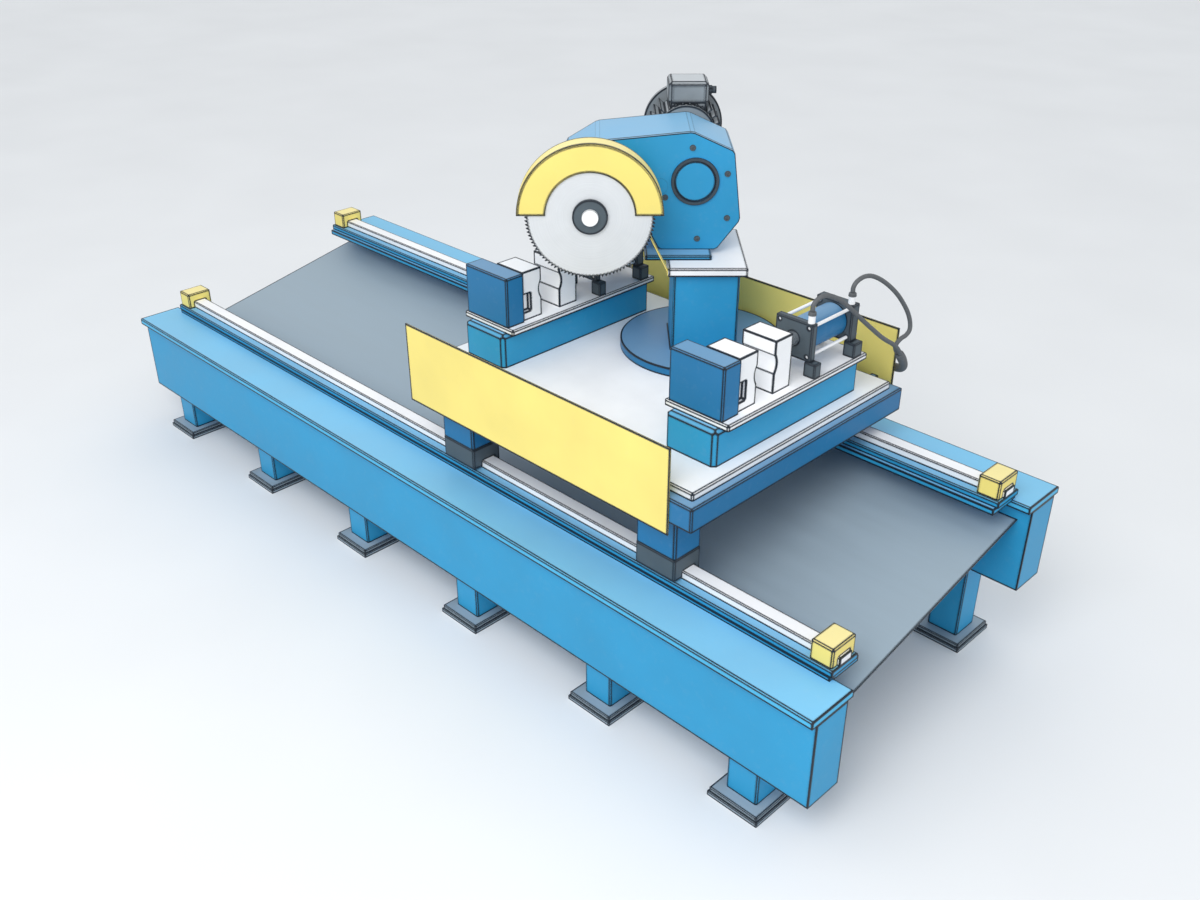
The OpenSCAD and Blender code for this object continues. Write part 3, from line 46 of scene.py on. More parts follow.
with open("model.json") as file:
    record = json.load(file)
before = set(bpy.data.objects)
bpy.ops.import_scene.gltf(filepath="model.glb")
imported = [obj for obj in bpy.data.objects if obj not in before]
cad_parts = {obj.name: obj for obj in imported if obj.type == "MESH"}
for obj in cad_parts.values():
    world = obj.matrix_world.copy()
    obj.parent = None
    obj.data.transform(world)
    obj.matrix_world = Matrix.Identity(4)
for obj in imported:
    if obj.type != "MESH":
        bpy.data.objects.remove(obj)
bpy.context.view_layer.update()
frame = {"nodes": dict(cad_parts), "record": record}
MM = 0.001
# Sine and cosine of the 45 degrees by which the head stands turned
SLANT = math.sqrt(0.5)
# Cosine between bevelled and true normal where the dark line along an edge starts, and where it is full
EDGE_START = 0.998
EDGE_FULL = 0.986
EDGE_SAMPLES = 16


# Colours and nodes


def linear(hex_colour):
    """sRGB hex to linear: c / 12.92 below 0.04045, else ((c + 0.055) / 1.055) to the power 2.4."""
    parts = [int(hex_colour[i : i + 2], 16) / 255 for i in (0, 2, 4)]
    return tuple(c / 12.92 if c <= 0.04045 else ((c + 0.055) / 1.055) ** 2.4 for c in parts)


def add(tree, kind, inputs=None, **settings):
    """Adds a node, sets its settings, and fills its sockets with plain values or links."""
    made = tree.nodes.new(kind)
    for key, value in settings.items():
        setattr(made, key, value)
    for key, value in (inputs or {}).items():
        if isinstance(value, bpy.types.NodeSocket):
            tree.links.new(value, made.inputs[key])
        else:
            made.inputs[key].default_value = value
    return made


def new_material(name):
    """An empty node material with its output and its shader."""
    material = bpy.data.materials.new(name)
    material.use_nodes = True
    tree = material.node_tree
    tree.nodes.clear()
    output = tree.nodes.new("ShaderNodeOutputMaterial")
    shader = tree.nodes.new("ShaderNodeBsdfPrincipled")
    tree.links.new(shader.outputs[0], output.inputs[0])
    return material, tree, shader


def edge_mask(tree, radius):
    """One along each sharp edge and zero on faces: (EDGE_START - c) / (EDGE_START - EDGE_FULL) held
    between 0 and 1, where c is the cosine between the bevelled normal and the true one."""
    bevel = add(tree, "ShaderNodeBevel", {"Radius": radius}, samples=EDGE_SAMPLES)
    true = add(tree, "ShaderNodeNewGeometry")
    normals = {0: bevel.outputs[0], 1: true.outputs["Normal"]}
    cosine = add(tree, "ShaderNodeVectorMath", normals, operation="DOT_PRODUCT")
    return ranged(tree, cosine.outputs["Value"], EDGE_START, EDGE_FULL, 0.0, 1.0)


def blend_colour(tree, factor, first, second):
    """Colour between first and second by factor."""
    return add(tree, "ShaderNodeMix", {0: factor, 6: first, 7: second}, data_type="RGBA").outputs[2]


def noise(tree, place, scale, detail=3.0, roughness=0.5):
    """Noise from 0 to 1, with about scale patches to each unit of place."""
    inputs = {"Vector": place, "Scale": scale, "Detail": detail, "Roughness": roughness}
    return add(tree, "ShaderNodeTexNoise", inputs).outputs["Fac"]


def ranged(tree, value, from_min, from_max, to_min, to_max):
    """to_min + (to_max - to_min) (value - from_min) / (from_max - from_min), held between the two ends."""
    inputs = {"Value": value, "From Min": from_min, "From Max": from_max, "To Min": to_min, "To Max": to_max}
    return add(tree, "ShaderNodeMapRange", inputs).outputs[0]


def opaque(colour):
    """The colour with full alpha."""
    return (*colour[:3], 1.0)


def toned(colour, factor):
    """The colour times a factor, no channel over one."""
    return (*(min(1.0, c * factor) for c in colour[:3]), 1.0)


def edged(tree, body, reach=1.0):
    """Body colour with painted dark lines along every sharp edge, which also paint the shade on chamfers,
    less far in on small pieces.
    """
    look = bpy.context.scene.saw_finish
    # How much of the painted dark lines and edge shade shows: the edge mask times the edge strength
    edge_darkening = add(
        tree,
        "ShaderNodeMath",
        {0: edge_mask(tree, look.edge_width * reach), 1: look.edge_strength},
        operation="MULTIPLY",
    )
    return blend_colour(tree, edge_darkening.outputs[0], body, opaque(bpy.context.scene.saw_colours.painted_edge_shade))


def painted_top_sheen(tree, body, share, tint="F2F7FB"):
    """Body colour with a painted sheen on faces that look up: blended toward the pale tint, from none where
    the normal's z is 0.55 to share where it is 0.9.
    """
    normal = add(tree, "ShaderNodeNewGeometry").outputs["Normal"]
    height = add(tree, "ShaderNodeSeparateXYZ", {0: normal}).outputs["Z"]
    return blend_colour(tree, ranged(tree, height, 0.55, 0.9, 0.0, share), body, opaque(linear(tint)))


def enamel(name, colour, roughness=0.42, top_sheen=0.26, tint="C9E4F5", reach=1.0):
    """Two-pack machine enamel, sprayed over undercoat: faint orange peel, slow change of tone, painted sheen
    on faces that look up, and painted dark lines and chamfer shade along the edges."""
    material, tree, shader = new_material(name)
    place = add(tree, "ShaderNodeTexCoord").outputs["Object"]
    # Slow drift of tone over half a metre, as hand spraying leaves it
    cloud = noise(tree, place, 2.1, 3.0)
    drift = ranged(tree, cloud, 0.32, 0.68, 0.0, 1.0)
    body = blend_colour(tree, drift, toned(colour, 0.94), toned(colour, 1.05))
    # Dust lies in patches of a few centimetres
    dust = ranged(tree, noise(tree, place, 24.0, 6.0, 0.62), 0.55, 0.8, 0.0, 0.05)
    # Painted sheen: faces that look up are lightened toward the pale tint, over the dust
    dust_and_top_sheen = painted_top_sheen(tree, blend_colour(tree, dust, body, opaque(linear("B9BDBF"))), top_sheen, tint)
    tree.links.new(edged(tree, dust_and_top_sheen, reach), shader.inputs["Base Color"])
    gloss = ranged(tree, cloud, 0.3, 0.7, roughness - 0.05, roughness + 0.08)
    tree.links.new(gloss, shader.inputs["Roughness"])
    # Orange peel of 6 mm, coarser than the real 2 mm so that it shows
    peel = noise(tree, place, 160.0, 2.0)
    bump = add(tree, "ShaderNodeBump", {"Strength": 0.12, "Distance": 0.0006, "Height": peel})
    tree.links.new(bump.outputs[0], shader.inputs["Normal"])
    shader.inputs["Specular IOR Level"].default_value = 0.3
    return material


def bare_steel(name, colour, grain, roughness=0.34, metallic=0.85, contrast=0.1):
    """Bare steel: streaks along the axis on which grain, the noise's scale per axis, is lowest, and an
    even grit where grain is the same on all three."""
    material, tree, shader = new_material(name)
    place = add(tree, "ShaderNodeTexCoord").outputs["Object"]
    lines = add(tree, "ShaderNodeMapping", {"Vector": place, "Scale": grain})
    scratch = noise(tree, lines.outputs[0], 1.0, 4.0, 0.6)
    drift = ranged(tree, scratch, 0.3, 0.7, 0.0, 1.0)
    body = blend_colour(tree, drift, toned(colour, 1 - contrast), toned(colour, 1 + contrast))
    tree.links.new(edged(tree, body), shader.inputs["Base Color"])
    gloss = ranged(tree, scratch, 0.3, 0.7, roughness - 0.08, roughness + 0.1)
    tree.links.new(gloss, shader.inputs["Roughness"])
    bump = add(tree, "ShaderNodeBump", {"Strength": 0.15, "Distance": 0.0004, "Height": scratch})
    tree.links.new(bump.outputs[0], shader.inputs["Normal"])
    shader.inputs["Metallic"].default_value = metallic
    return material


def disc_steel(name, colour, middle):
    """Ground saw steel: rings round the spindle, from noise read along the distance to the spindle's axis."""
    material, tree, shader = new_material(name)
    place = add(tree, "ShaderNodeTexCoord").outputs["Object"]
    local = add(tree, "ShaderNodeVectorMath", {0: place, 1: middle}, operation="SUBTRACT")
    reach = add(tree, "ShaderNodeVectorMath", {0: local.outputs[0]}, operation="LENGTH").outputs["Value"]
    # Grinding rings of 4 mm, coarser than the real 0.2 mm so that they show
    rings = add(
        tree, "ShaderNodeTexNoise", {"W": reach, "Scale": 240.0, "Detail": 4.0}, noise_dimensions="1D"
    ).outputs["Fac"]
    cloud = noise(tree, place, 9.0, 4.0)
    tone = add(
        tree,
        "ShaderNodeMath",
        {0: ranged(tree, rings, 0.3, 0.7, 0.0, 0.6), 1: ranged(tree, cloud, 0.3, 0.7, 0.0, 0.4)},
        operation="ADD",
    )
    body = blend_colour(tree, tone.outputs[0], toned(colour, 0.93), toned(colour, 1.05))
    tree.links.new(edged(tree, body), shader.inputs["Base Color"])
    tree.links.new(ranged(tree, rings, 0.3, 0.7, 0.30, 0.46), shader.inputs["Roughness"])
    bump = add(tree, "ShaderNodeBump", {"Strength": 0.1, "Distance": 0.0003, "Height": rings})
    tree.links.new(bump.outputs[0], shader.inputs["Normal"])
    shader.inputs["Metallic"].default_value = 0.15
    return material


def cast_metal(name, colour, roughness=0.55, grit=90.0, top_sheen=0.0, reach=1.0):
    """Sand-cast metal under a thin coat: grit of a metre over grit, 11 mm unless another value is given,
    coarser than the real 2 mm so that it shows."""
    material, tree, shader = new_material(name)
    place = add(tree, "ShaderNodeTexCoord").outputs["Object"]
    cloud = noise(tree, place, 7.0, 4.0)
    drift = ranged(tree, cloud, 0.3, 0.7, 0.0, 1.0)
    body = blend_colour(tree, drift, toned(colour, 0.88), toned(colour, 1.1))
    # Faces that look up get the painted pale sheen, then sharp edges get the painted dark lines and shade
    tree.links.new(edged(tree, painted_top_sheen(tree, body, top_sheen), reach), shader.inputs["Base Color"])
    gloss = ranged(tree, cloud, 0.3, 0.7, roughness - 0.06, roughness + 0.1)
    tree.links.new(gloss, shader.inputs["Roughness"])
    grain = noise(tree, place, grit, 5.0, 0.6)
    bump = add(tree, "ShaderNodeBump", {"Strength": 0.3, "Distance": 0.001, "Height": grain})
    tree.links.new(bump.outputs[0], shader.inputs["Normal"])
    return material


def moulded_rubber(name, colour):
    """Extruded hose rubber: matt, with a fine even grain."""
    material, tree, shader = new_material(name)
    place = add(tree, "ShaderNodeTexCoord").outputs["Object"]
    cloud = noise(tree, place, 60.0, 5.0, 0.6)
    drift = ranged(tree, cloud, 0.3, 0.7, 0.0, 1.0)
    body = blend_colour(tree, drift, toned(colour, 0.8), toned(colour, 1.15))
    tree.links.new(body, shader.inputs["Base Color"])
    tree.links.new(ranged(tree, cloud, 0.3, 0.7, 0.5, 0.72), shader.inputs["Roughness"])
    grain = noise(tree, place, 420.0, 3.0)
    bump = add(tree, "ShaderNodeBump", {"Strength": 0.25, "Distance": 0.0006, "Height": grain})
    tree.links.new(bump.outputs[0], shader.inputs["Normal"])
    return material


# Shapes


def mesh_object(name, points, faces, material, body, smooth=True):
    """A mesh object at the origin from an array of points in millimetres, riding on a body."""
    mesh = bpy.data.meshes.new(name)
    mesh.from_pydata((np.asarray(points, float) * MM).tolist(), [], [list(map(int, face)) for face in faces])
    mesh.validate()
    mesh.materials.append(material)
    mesh.polygons.foreach_set("use_smooth", np.full(len(mesh.polygons), smooth))
    mesh.update()
    made = bpy.data.objects.new(name, mesh)
    bpy.context.scene.collection.objects.link(made)
    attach(made, body)
    return made


def grid_faces(rows, columns):
    """Faces of a grid closed round its columns: each point, the next one round, and the two on the next
    row."""
    i, j = np.meshgrid(np.arange(rows - 1), np.arange(columns), indexing="ij")
    k = (j + 1) % columns
    quads = np.stack([i * columns + j, i * columns + k, (i + 1) * columns + k, (i + 1) * columns + j], -1)
    return quads.reshape(-1, 4).tolist()


def swept(route, radius, sides=24, step=8.0, aside=(1.0, 0.0, 0.0)):
    """Tube along a smooth curve: route points joined by a Catmull-Rom curve, evenly re-spaced by step;
    each ring is the point plus radius times cos(t) u + sin(t) v, u and v square to the curve."""
    p = np.asarray(route, float)
    p = np.vstack([2 * p[0] - p[1], p, 2 * p[-1] - p[-2]])
    t = np.linspace(0, 1, 12, endpoint=False)[:, None]
    a, b, c, d = (p[i : len(p) - 3 + i][:, None, :] for i in range(4))
    fine = 0.5 * (2 * b + (c - a) * t + (2 * a - 5 * b + 4 * c - d) * t**2 + (3 * b - a - 3 * c + d) * t**3)
    fine = np.vstack([fine.reshape(-1, 3), p[-2]])
    run = np.concatenate([[0], np.cumsum(np.linalg.norm(np.diff(fine, axis=0), axis=1))])
    even = np.linspace(0, run[-1], max(3, int(run[-1] / step)))
    line = np.stack([np.interp(even, run, fine[:, k]) for k in range(3)], 1)
    way = np.gradient(line, axis=0)
    way /= np.linalg.norm(way, axis=1)[:, None]
    u = np.cross(np.asarray(aside, float), way)
    u /= np.linalg.norm(u, axis=1)[:, None]
    v = np.cross(way, u)
    angle = np.arange(sides) * 2 * np.pi / sides
    radii = radius(even / run[-1]) if callable(radius) else np.full(len(line), float(radius))
    rings = line[:, None, :] + radii[:, None, None] * (
        np.cos(angle)[None, :, None] * u[:, None, :] + np.sin(angle)[None, :, None] * v[:, None, :]
    )
    points = rings.reshape(-1, 3)
    faces = grid_faces(len(line), sides)
    faces = [face[::-1] for face in faces]
    faces.append(list(range(sides)))
    faces.append(list(range(len(points) - sides, len(points)))[::-1])
    return points, faces


def turned(profile, origin, axis, across, columns=48, closed=False):
    """Turned piece: each profile row (height along the axis, radius) becomes a ring; origin plus height
    times axis plus radius times the circle in the plane of across and axis x across. A closed profile
    comes back to its first row, and an open one gets a flat face at both ends."""
    profile = np.asarray([*profile, profile[0]] if closed else profile, float)
    axis = np.asarray(axis, float)
    u = np.asarray(across, float)
    v = np.cross(axis, u)
    angle = np.arange(columns) * 2 * np.pi / columns
    circle = np.cos(angle)[:, None] * u + np.sin(angle)[:, None] * v
    points = np.asarray(origin, float) + profile[:, :1, None] * axis + profile[:, 1:, None] * circle
    faces = grid_faces(len(profile), columns)
    points = points.reshape(-1, 3)
    if not closed:
        faces.append(list(range(columns))[::-1])
        faces.append(list(range(len(points) - columns, len(points))))
    return points, faces


def socket_head(origin, axis, across, radius, height, columns=36):
    """Cap screw head: rounded rim, flat top, and a six-sided socket whose radius is
    r cos(30) / cos(angle mod 60 - 30)."""
    axis = np.asarray(axis, float)
    u = np.asarray(across, float)
    v = np.cross(axis, u)
    angle = np.arange(columns) * 2 * np.pi / columns
    circle = np.cos(angle)[:, None] * u + np.sin(angle)[:, None] * v
    hexagon = math.cos(math.pi / 6) / np.cos(np.mod(angle, math.pi / 3) - math.pi / 6)
    round_rows = [(0, 1.0), (0.82 * height, 1.0), (0.95 * height, 0.97), (height, 0.9), (height, 0.66)]
    rows = [radius * r * np.ones(columns) for _, r in round_rows] + [radius * 0.55 * hexagon] * 2
    heights = [h for h, _ in round_rows] + [height, 0.45 * height]
    points = np.concatenate(
        [np.asarray(origin, float) + h * axis + row[:, None] * circle for h, row in zip(heights, rows)]
    )
    faces = grid_faces(len(rows), columns)
    faces.append(list(range(columns))[::-1])
    faces.append(list(range(len(points) - columns, len(points))))
    return points, faces


def joined(pieces):
    """Several (points, faces) as one."""
    points, faces, start = [], [], 0
    for p, f in pieces:
        points.append(p)
        faces += [[i + start for i in face] for face in f]
        start += len(p)
    return np.concatenate(points), faces


# Settings


def paint(name, description, hex_colour):
    """A colour setting whose default is an sRGB hex value."""
    default = linear(hex_colour)
    return FloatVectorProperty(name=name, description=description, subtype="COLOR", default=default)


class SawColours(bpy.types.PropertyGroup):
    beam_blue: paint("Beam blue", "Enamel of beams, legs and pedestals", "2B96C6")
    frame_blue: paint("Frame blue", "Enamel of the carriage frame and jaw blocks", "1F70A2")
    cap_blue: paint("Cap blue", "Enamel of the beam caps", "47B0DD")
    # Colour of the painted dark lines and shade along sharp edges
    painted_edge_shade: paint("Primer", "Dark primer at the edges", "131D28")
    head_blue: paint("Head blue", "Enamel of gearbox and ram", "2D94C6")
    guard_yellow: paint("Guard yellow", "Enamel of guards and end stops", "EFDC7C")
    white: paint("White", "Enamel of table, plates and rails", "F3F4F6")
    slate: paint("Slate", "Coat of the castings", "4A565E")
    sheet: paint("Sheet", "Rolled sheet of tray and foot plates", "98A9B5")
    blade: paint("Blade", "Ground steel of the blade", "D9DCDF")
    motor_grey: paint("Motor grey", "Coat of the motor", "848B90")
    steel: paint("Steel", "Bare turned steel", "C9CED3")
    hose: paint("Hose", "Rubber of the hoses", "5A5D60")


class SawFinish(bpy.types.PropertyGroup):
    # Width and strength of the painted dark lines and shade along sharp edges
    edge_width: FloatProperty(
        name="Edge width",
        description="How far dark primer shows beside each sharp edge",
        default=0.02,
        unit="LENGTH",
    )
    edge_strength: FloatProperty(
        name="Edge strength",
        description="How much the primer shows at the edges",
        default=1.0,
        subtype="FACTOR",
    )
    hose_sides: IntProperty(name="Hose sides", description="Facets round each hose", default=24)


# Operators


class SAW_OT_finishes(bpy.types.Operator):
    """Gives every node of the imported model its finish"""

    bl_idname = "saw.finishes"
    bl_label = "Finishes"

    def execute(self, context):
        tint = context.scene.saw_colours
        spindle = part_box("saw_blade")
        middle = tuple((float(a) + float(b)) / 2 for a, b in zip(*spindle))
        # In these calls enamel's fourth value and cast_metal's fifth say how far faces that look up are
        # lightened by painted sheen, and F7F8F0 is that sheen's tint on the yellow
        finishes = {
            "beam_paint": enamel("beam_enamel", tint.beam_blue),
            "cap_paint": enamel("cap_enamel", tint.cap_blue),
            "frame_paint": enamel("frame_enamel", tint.frame_blue, 0.42, 0.22),
            "head_paint": enamel("head_enamel", tint.head_blue, 0.38, 0.32),
            "guard_paint": enamel("guard_enamel", tint.guard_yellow, 0.45, 0.2, "F7F8F0"),
            "white_paint": enamel("white_enamel", tint.white, 0.45, 0.0),
            "slate_paint": cast_metal("coated_casting", tint.slate),
            "motor_paint": cast_metal("motor_casting", tint.motor_grey, 0.5, 90.0, 0.4),
            "sheet_steel": bare_steel("rolled_sheet", tint.sheet, (1.5, 14.0, 14.0), 0.55, 0.1, 0.03),
            "ground_steel": bare_steel("ground_steel", tint.steel, (90.0, 90.0, 90.0), 0.3, 0.9),
            "blade_steel": disc_steel("saw_steel", tint.blade, middle),
            "rubber": moulded_rubber("hose_rubber", tint.hose),
            "stator_iron": cast_metal("stator_iron", linear("4B5054"), 0.6),
            "fan_plastic": cast_metal("fan_plastic", linear("34393D"), 0.6),
        }
        small_white = enamel("small_white_enamel", tint.white, 0.45, 0.0, reach=0.12)
        finishes_by_node = {
            "gearbox_cover": enamel("cover_enamel", tint.head_blue, 0.38, 0.32, reach=0.5),
            "chip_deflector": enamel("strip_enamel", tint.guard_yellow, 0.45, 0.2, "F7F8F0", reach=0.15),
            "tie_rods": small_white,
            "hose_ports": small_white,
            "spindle_nut": small_white,
        }
        for entry in frame["record"]["subparts"]:
            mesh = frame["nodes"][entry["node"]].data
            mesh.materials.clear()
            mesh.materials.append(finishes_by_node.get(entry["node"], finishes[entry["material_slot"]]))
        return {"FINISHED"}


class SAW_OT_hoses(bpy.types.Operator):
    """Round hoses with crimped ferrules, and the sleeves that take them"""

    bl_idname = "saw.hoses"
    bl_label = "Hoses"

    # Route points, in millimetres, as in the part's source
    RIGHT_FRONT = [
        [1971, 171, 2004], [1971, 171, 2030], [1975, 184, 2054], [1983, 212, 2070], [1993, 252, 2070],
        [2005, 297, 2052], [2017, 342, 2022], [2029, 390, 1982], [2040, 440, 1936], [2050, 492, 1888],
        [2059, 546, 1840], [2067, 602, 1792], [2075, 658, 1745], [2081, 712, 1706], [2085, 756, 1678],
        [2088, 788, 1654], [2092, 812, 1631], [2095, 829, 1609], [2098, 843, 1588],
    ]
    RIGHT_REAR = [
        [1971, 511, 2004], [1971, 511, 2030], [1975, 528, 2056], [1983, 570, 2072], [1993, 622, 2068],
        [2004, 676, 2044], [2016, 732, 2007], [2029, 786, 1962], [2041, 836, 1912], [2053, 880, 1856],
        [2065, 914, 1800], [2076, 932, 1745], [2082, 930, 1700], [2080, 905, 1676], [2074, 872, 1666],
        [2070, 844, 1651], [2068, 830, 1630], [2070, 834, 1608], [2074, 849, 1588],
    ]
    RIGHT_SLEEVE = [
        [2086.2, 846.7, 1587], [2091, 868, 1557], [2090, 891, 1526], [2083, 912, 1499], [2071, 930, 1476],
        [2053, 944, 1458], [2030, 954, 1447], [2003, 958, 1442], [1976, 958, 1440], [1950.2, 958, 1440],
    ]
    LEFT_FRONT = [
        [199, 171, 1841], [172, 171, 1841], [143, 181, 1839], [120, 205, 1836], [108, 238, 1834],
        [104, 285, 1831], [104, 340, 1827], [104, 395, 1823], [104, 450, 1817], [103, 505, 1809],
        [102, 558, 1799], [100, 606, 1785], [98, 646, 1767], [98, 682, 1751], [99.5, 706, 1734],
        [100, 723, 1712],
    ]
    LEFT_REAR = [
        [199, 511, 1841], [174, 511, 1841], [151, 524, 1838], [137, 550, 1831], [132, 582, 1820],
        [129, 616, 1804], [127, 648, 1785], [126, 680, 1762], [125, 704, 1734], [125, 721, 1712],
    ]
    LEFT_SLEEVE = [
        [112.5, 722.8, 1711], [113, 747, 1680], [116, 764, 1648], [118, 772, 1622], [118, 772, 1602.2],
    ]

    HOSE_RADIUS = 12.0
    SLEEVE_RADIUS = 25.0
    # Crimped ferrule as (height, radius): a collar, two shallow rings and a rounded mouth
    CRIMP = [
        (0.0, 19.0), (0.0, 21.0), (4.0, 21.0), (4.6, 19.2), (7.0, 19.2), (7.6, 20.4), (9.6, 20.4),
        (10.2, 19.0), (12.4, 19.0), (13.0, 20.0), (15.2, 20.0), (17.0, 18.4), (19.0, 15.5), (19.0, 12.2),
    ]

    def execute(self, context):
        sides = context.scene.saw_finish.hose_sides
        rubber = bpy.data.materials["hose_rubber"]
        right, up = (1, 0, 0), (0, 0, 1)
        length = self.CRIMP[-1][0]
        pieces = [
            swept(self.RIGHT_FRONT, self.HOSE_RADIUS, sides, aside=right),
            swept(self.RIGHT_REAR, self.HOSE_RADIUS, sides, aside=right),
            swept(self.LEFT_FRONT, self.HOSE_RADIUS, sides, aside=up),
            swept(self.LEFT_REAR, self.HOSE_RADIUS, sides, aside=up),
        ]
        for route in (self.RIGHT_FRONT, self.RIGHT_REAR):
            pieces.append(turned(self.CRIMP, np.array(route[0]) - [0, 0, length], up, right))
        for route in (self.LEFT_FRONT, self.LEFT_REAR):
            pieces.append(turned(self.CRIMP, np.array(route[0]) + [length, 0, 0], (-1, 0, 0), (0, 1, 0)))
        points, faces = joined(pieces)
        made = mesh_object("fine_hoses", points, faces, rubber, "carriage")
        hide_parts("hoses")

        def cuff(t):
            """Sleeve radius where t is the share of its length from the hoses: a mouth rounded by 2 mm, a
            cuff over the first fifth, and 1.2 mm less from a quarter on."""
            mouth = 2.0 * np.clip(1 - t / 0.04, 0, 1) ** 2
            step = 1.2 * np.clip((t - 0.2) / 0.05, 0, 1)
            return self.SLEEVE_RADIUS - mouth - step

        points, faces = joined(
            [
                swept(self.RIGHT_SLEEVE, cuff, 28, 4.0, (0.0, 0.8, 0.6)),
                swept(self.LEFT_SLEEVE, cuff, 28, 4.0, right),
            ]
        )
        made = mesh_object("fine_sleeves", points, faces, rubber, "carriage")
        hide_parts("hose_sleeves")
        return {"FINISHED"}


# Turntable's axis, and the bearing cover's middle as place and height in the head
TURNTABLE = (1045.0, 445.0)
COVER = (-70.0, 2388.2)
# Ways out of the head's front face and along it
FRONT, SIDE = (SLANT, -SLANT, 0), (SLANT, SLANT, 0)


def head_point(right, depth, height):
    """Point in the row frame from a place in the head: the turntable's axis plus the place turned by 45
    degrees, (right - depth) sin 45 along x and (right + depth) sin 45 along y."""
    return (TURNTABLE[0] + SLANT * (right - depth), TURNTABLE[1] + SLANT * (right + depth), height)


class SAW_OT_cover_ring(bpy.types.Operator):
    """Dark sealing ring on the rim of the bearing cover"""

    bl_idname = "saw.cover_ring"
    bl_label = "Cover ring"

    # Section as (height, radius)
    SECTION = [(11.8, 113.0), (11.8, 127.0), (13.0, 127.0), (13.2, 126.6), (13.2, 113.4), (13.0, 113.0)]

    def execute(self, context):
        middle = head_point(COVER[0], 0.0, COVER[1])
        points, faces = turned(self.SECTION, middle, FRONT, SIDE, 96, closed=True)
        rubber = moulded_rubber("ring_rubber", linear("34424E"))
        mesh_object("cover_ring", points, faces, rubber, "head", smooth=False)
        return {"FINISHED"}


class SAW_OT_cover_screws(bpy.types.Operator):
    """Cap screws of the gearbox cover"""

    bl_idname = "saw.cover_screws"
    bl_label = "Cover screws"

    # Places from the bearing cover's middle, as right and up
    PLACES = [
        [-19, 180], [172, 40], [180, -204], [22, -321], [-158, -89],
        [-500, 170], [-650, 70], [-460, -195], [-330, -188],
    ]
    # Washer as (height, radius)
    WASHER = [(0, 15.0), (0, 17.0), (1.6, 17.0), (2.0, 16.4), (2.0, 12.0)]
    HEAD_RADIUS = 12.5
    HEAD_HEIGHT = 8.5

    def execute(self, context):
        thickness = self.WASHER[-1][0]
        pieces = []
        for right, up in self.PLACES:
            base = head_point(COVER[0] + right, 0.0, COVER[1] + up)
            pieces.append(turned(self.WASHER, base, FRONT, SIDE, 36))
            raised = np.array(base) + thickness * np.array(FRONT)
            pieces.append(socket_head(raised, FRONT, SIDE, self.HEAD_RADIUS, self.HEAD_HEIGHT))
        points, faces = joined(pieces)
        steel = cast_metal("blackened_screws", linear("566269"), 0.4, 300.0, reach=0.12)
        made = mesh_object("cap_screws", points, faces, steel, "head", smooth=False)
        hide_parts("cover_screws")
        return {"FINISHED"}


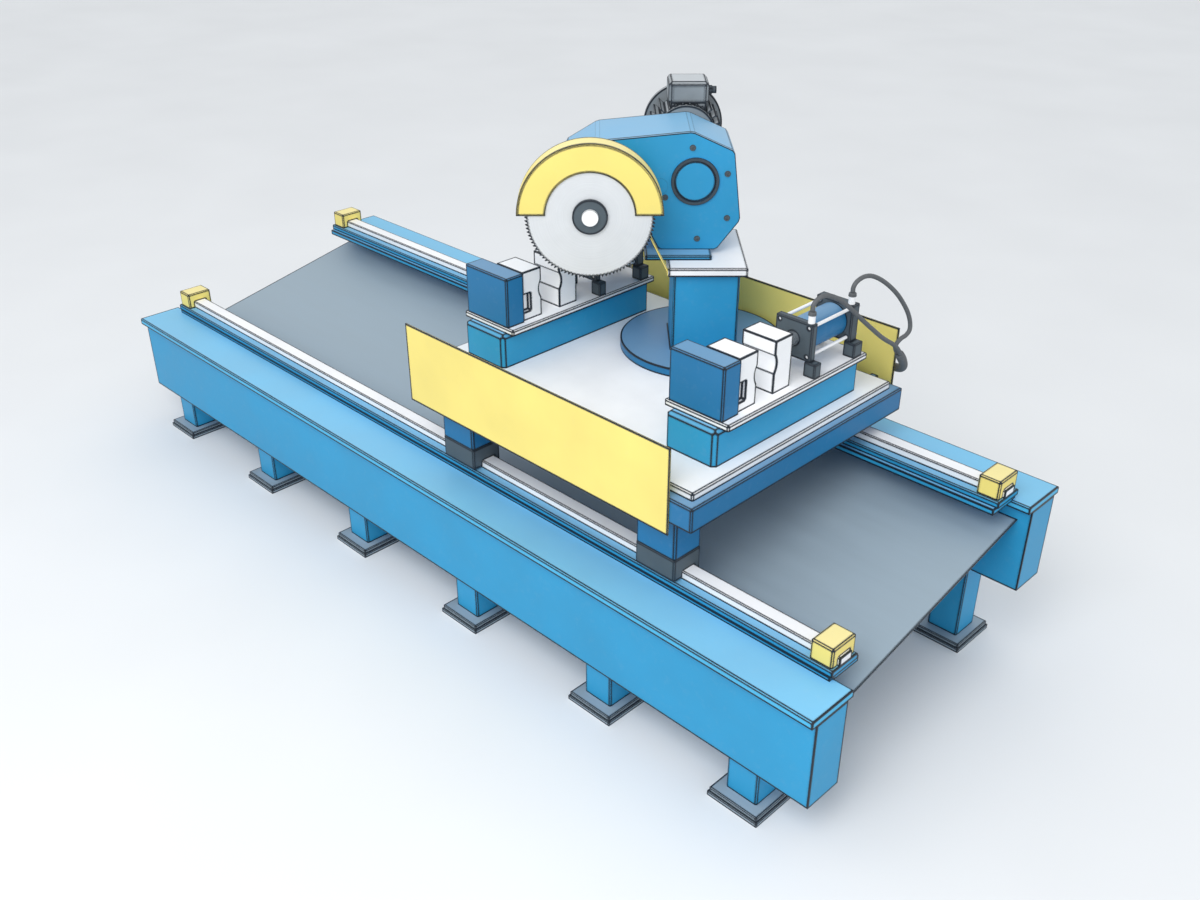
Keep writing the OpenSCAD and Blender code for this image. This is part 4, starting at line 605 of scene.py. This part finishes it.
class SAW_OT_stage(bpy.types.Operator):
    """Pale floor, soft studio light and the camera at the photograph's angle"""

    bl_idname = "saw.stage"
    bl_label = "Stage"

    FLOOR_HALF_WIDTH = 60.0
    # The camera solved from the photograph: place in metres, angles in degrees, focal length in pixels
    CAMERA_PLACE = (5.0996, -4.4378, 4.3823)
    CAMERA_DOWN = 30.01
    CAMERA_ROUND = 44.93
    FOCAL_PIXELS = 1212.3
    PHOTO_WIDTH = 1200.0
    SENSOR_WIDTH = 36.0

    def lamp(self, context, name, place, target, size, energy):
        """A round softbox at place that faces target: size in metres, energy in watts."""
        data = bpy.data.lights.new(name, "AREA")
        data.shape = "DISK"
        data.size = size
        data.energy = energy
        lamp = bpy.data.objects.new(name, data)
        context.scene.collection.objects.link(lamp)
        way = np.subtract(target, place)
        flat = math.hypot(way[0], way[1])
        lamp.location = place
        lamp.rotation_euler = (math.atan2(flat, -way[2]), 0.0, math.atan2(-way[0], way[1]))

    def execute(self, context):
        scene = context.scene
        material, tree, shader = new_material("studio_floor")
        place = add(tree, "ShaderNodeTexCoord").outputs["Object"]
        tone = ranged(tree, noise(tree, place, 0.6, 2.0), 0.3, 0.7, 0.0, 1.0)
        pale = blend_colour(tree, tone, opaque(linear("E6E8EA")), opaque(linear("EAECEE")))
        tree.links.new(pale, shader.inputs["Base Color"])
        shader.inputs["Roughness"].default_value = 0.9
        half = self.FLOOR_HALF_WIDTH
        corners = [(-half, -half, 0), (half, -half, 0), (half, half, 0), (-half, half, 0)]
        mesh = bpy.data.meshes.new("floor")
        mesh.from_pydata(corners, [], [(0, 1, 2, 3)])
        mesh.materials.append(material)
        floor = bpy.data.objects.new("floor", mesh)
        scene.collection.objects.link(floor)

        world = bpy.data.worlds.new("studio")
        scene.world = world
        world.use_nodes = True
        tree = world.node_tree
        tree.nodes.clear()
        rays = add(tree, "ShaderNodeLightPath")
        sky = add(tree, "ShaderNodeBackground", {"Color": opaque(linear("F2F4F6")), "Strength": 0.98})
        seen = add(tree, "ShaderNodeBackground", {"Color": opaque(linear("E9EBED")), "Strength": 1.0})
        choice = {0: rays.outputs["Is Camera Ray"], 1: sky.outputs[0], 2: seen.outputs[0]}
        mix = add(tree, "ShaderNodeMixShader", choice)
        output = add(tree, "ShaderNodeOutputWorld")
        tree.links.new(mix.outputs[0], output.inputs[0])

        self.lamp(context, "key_softbox", (3.8, -6.6, 8.0), (0.8, 0, 1.2), 6.0, 430)
        self.lamp(context, "left_softbox", (-5.0, -9.0, 8.0), (0, 0, 1.0), 8.0, 60)

        data = bpy.data.cameras.new("camera")
        data.sensor_width = self.SENSOR_WIDTH
        data.sensor_fit = "HORIZONTAL"
        data.lens = self.SENSOR_WIDTH * self.FOCAL_PIXELS / self.PHOTO_WIDTH
        data.clip_end = 300.0
        camera = bpy.data.objects.new("camera", data)
        scene.collection.objects.link(camera)
        camera.location = self.CAMERA_PLACE
        camera.rotation_euler = (math.radians(90 - self.CAMERA_DOWN), 0.0, math.radians(self.CAMERA_ROUND))
        scene.camera = camera
        scene.view_settings.view_transform = "Standard"
        return {"FINISHED"}


class SAW_PT_panel(bpy.types.Panel):
    """Lists the steps that dress the saw"""

    bl_idname = "SAW_PT_panel"
    bl_label = "Travelling cold saw"
    bl_space_type = "VIEW_3D"
    bl_region_type = "UI"
    bl_category = "Saw"

    def draw(self, context):
        for name in STEPS:
            self.layout.operator(name)
        for group in (context.scene.saw_colours, context.scene.saw_finish):
            for key in group.bl_rna.properties.keys():
                if key not in ("rna_type", "name"):
                    self.layout.prop(group, key)


STEPS = ("saw.finishes", "saw.hoses", "saw.cover_ring", "saw.cover_screws", "saw.stage")
CLASSES = (
    SawColours,
    SawFinish,
    SAW_OT_finishes,
    SAW_OT_hoses,
    SAW_OT_cover_ring,
    SAW_OT_cover_screws,
    SAW_OT_stage,
    SAW_PT_panel,
)


def register():
    for one in CLASSES:
        bpy.utils.register_class(one)
    bpy.types.Scene.saw_colours = PointerProperty(type=SawColours)
    bpy.types.Scene.saw_finish = PointerProperty(type=SawFinish)


def unregister():
    del bpy.types.Scene.saw_finish
    del bpy.types.Scene.saw_colours
    for one in reversed(CLASSES):
        bpy.utils.unregister_class(one)


def main():
    register()
    for name in STEPS:
        group, step = name.split(".")
        getattr(getattr(bpy.ops, group), step)()


if __name__ == "__main__":
    main()
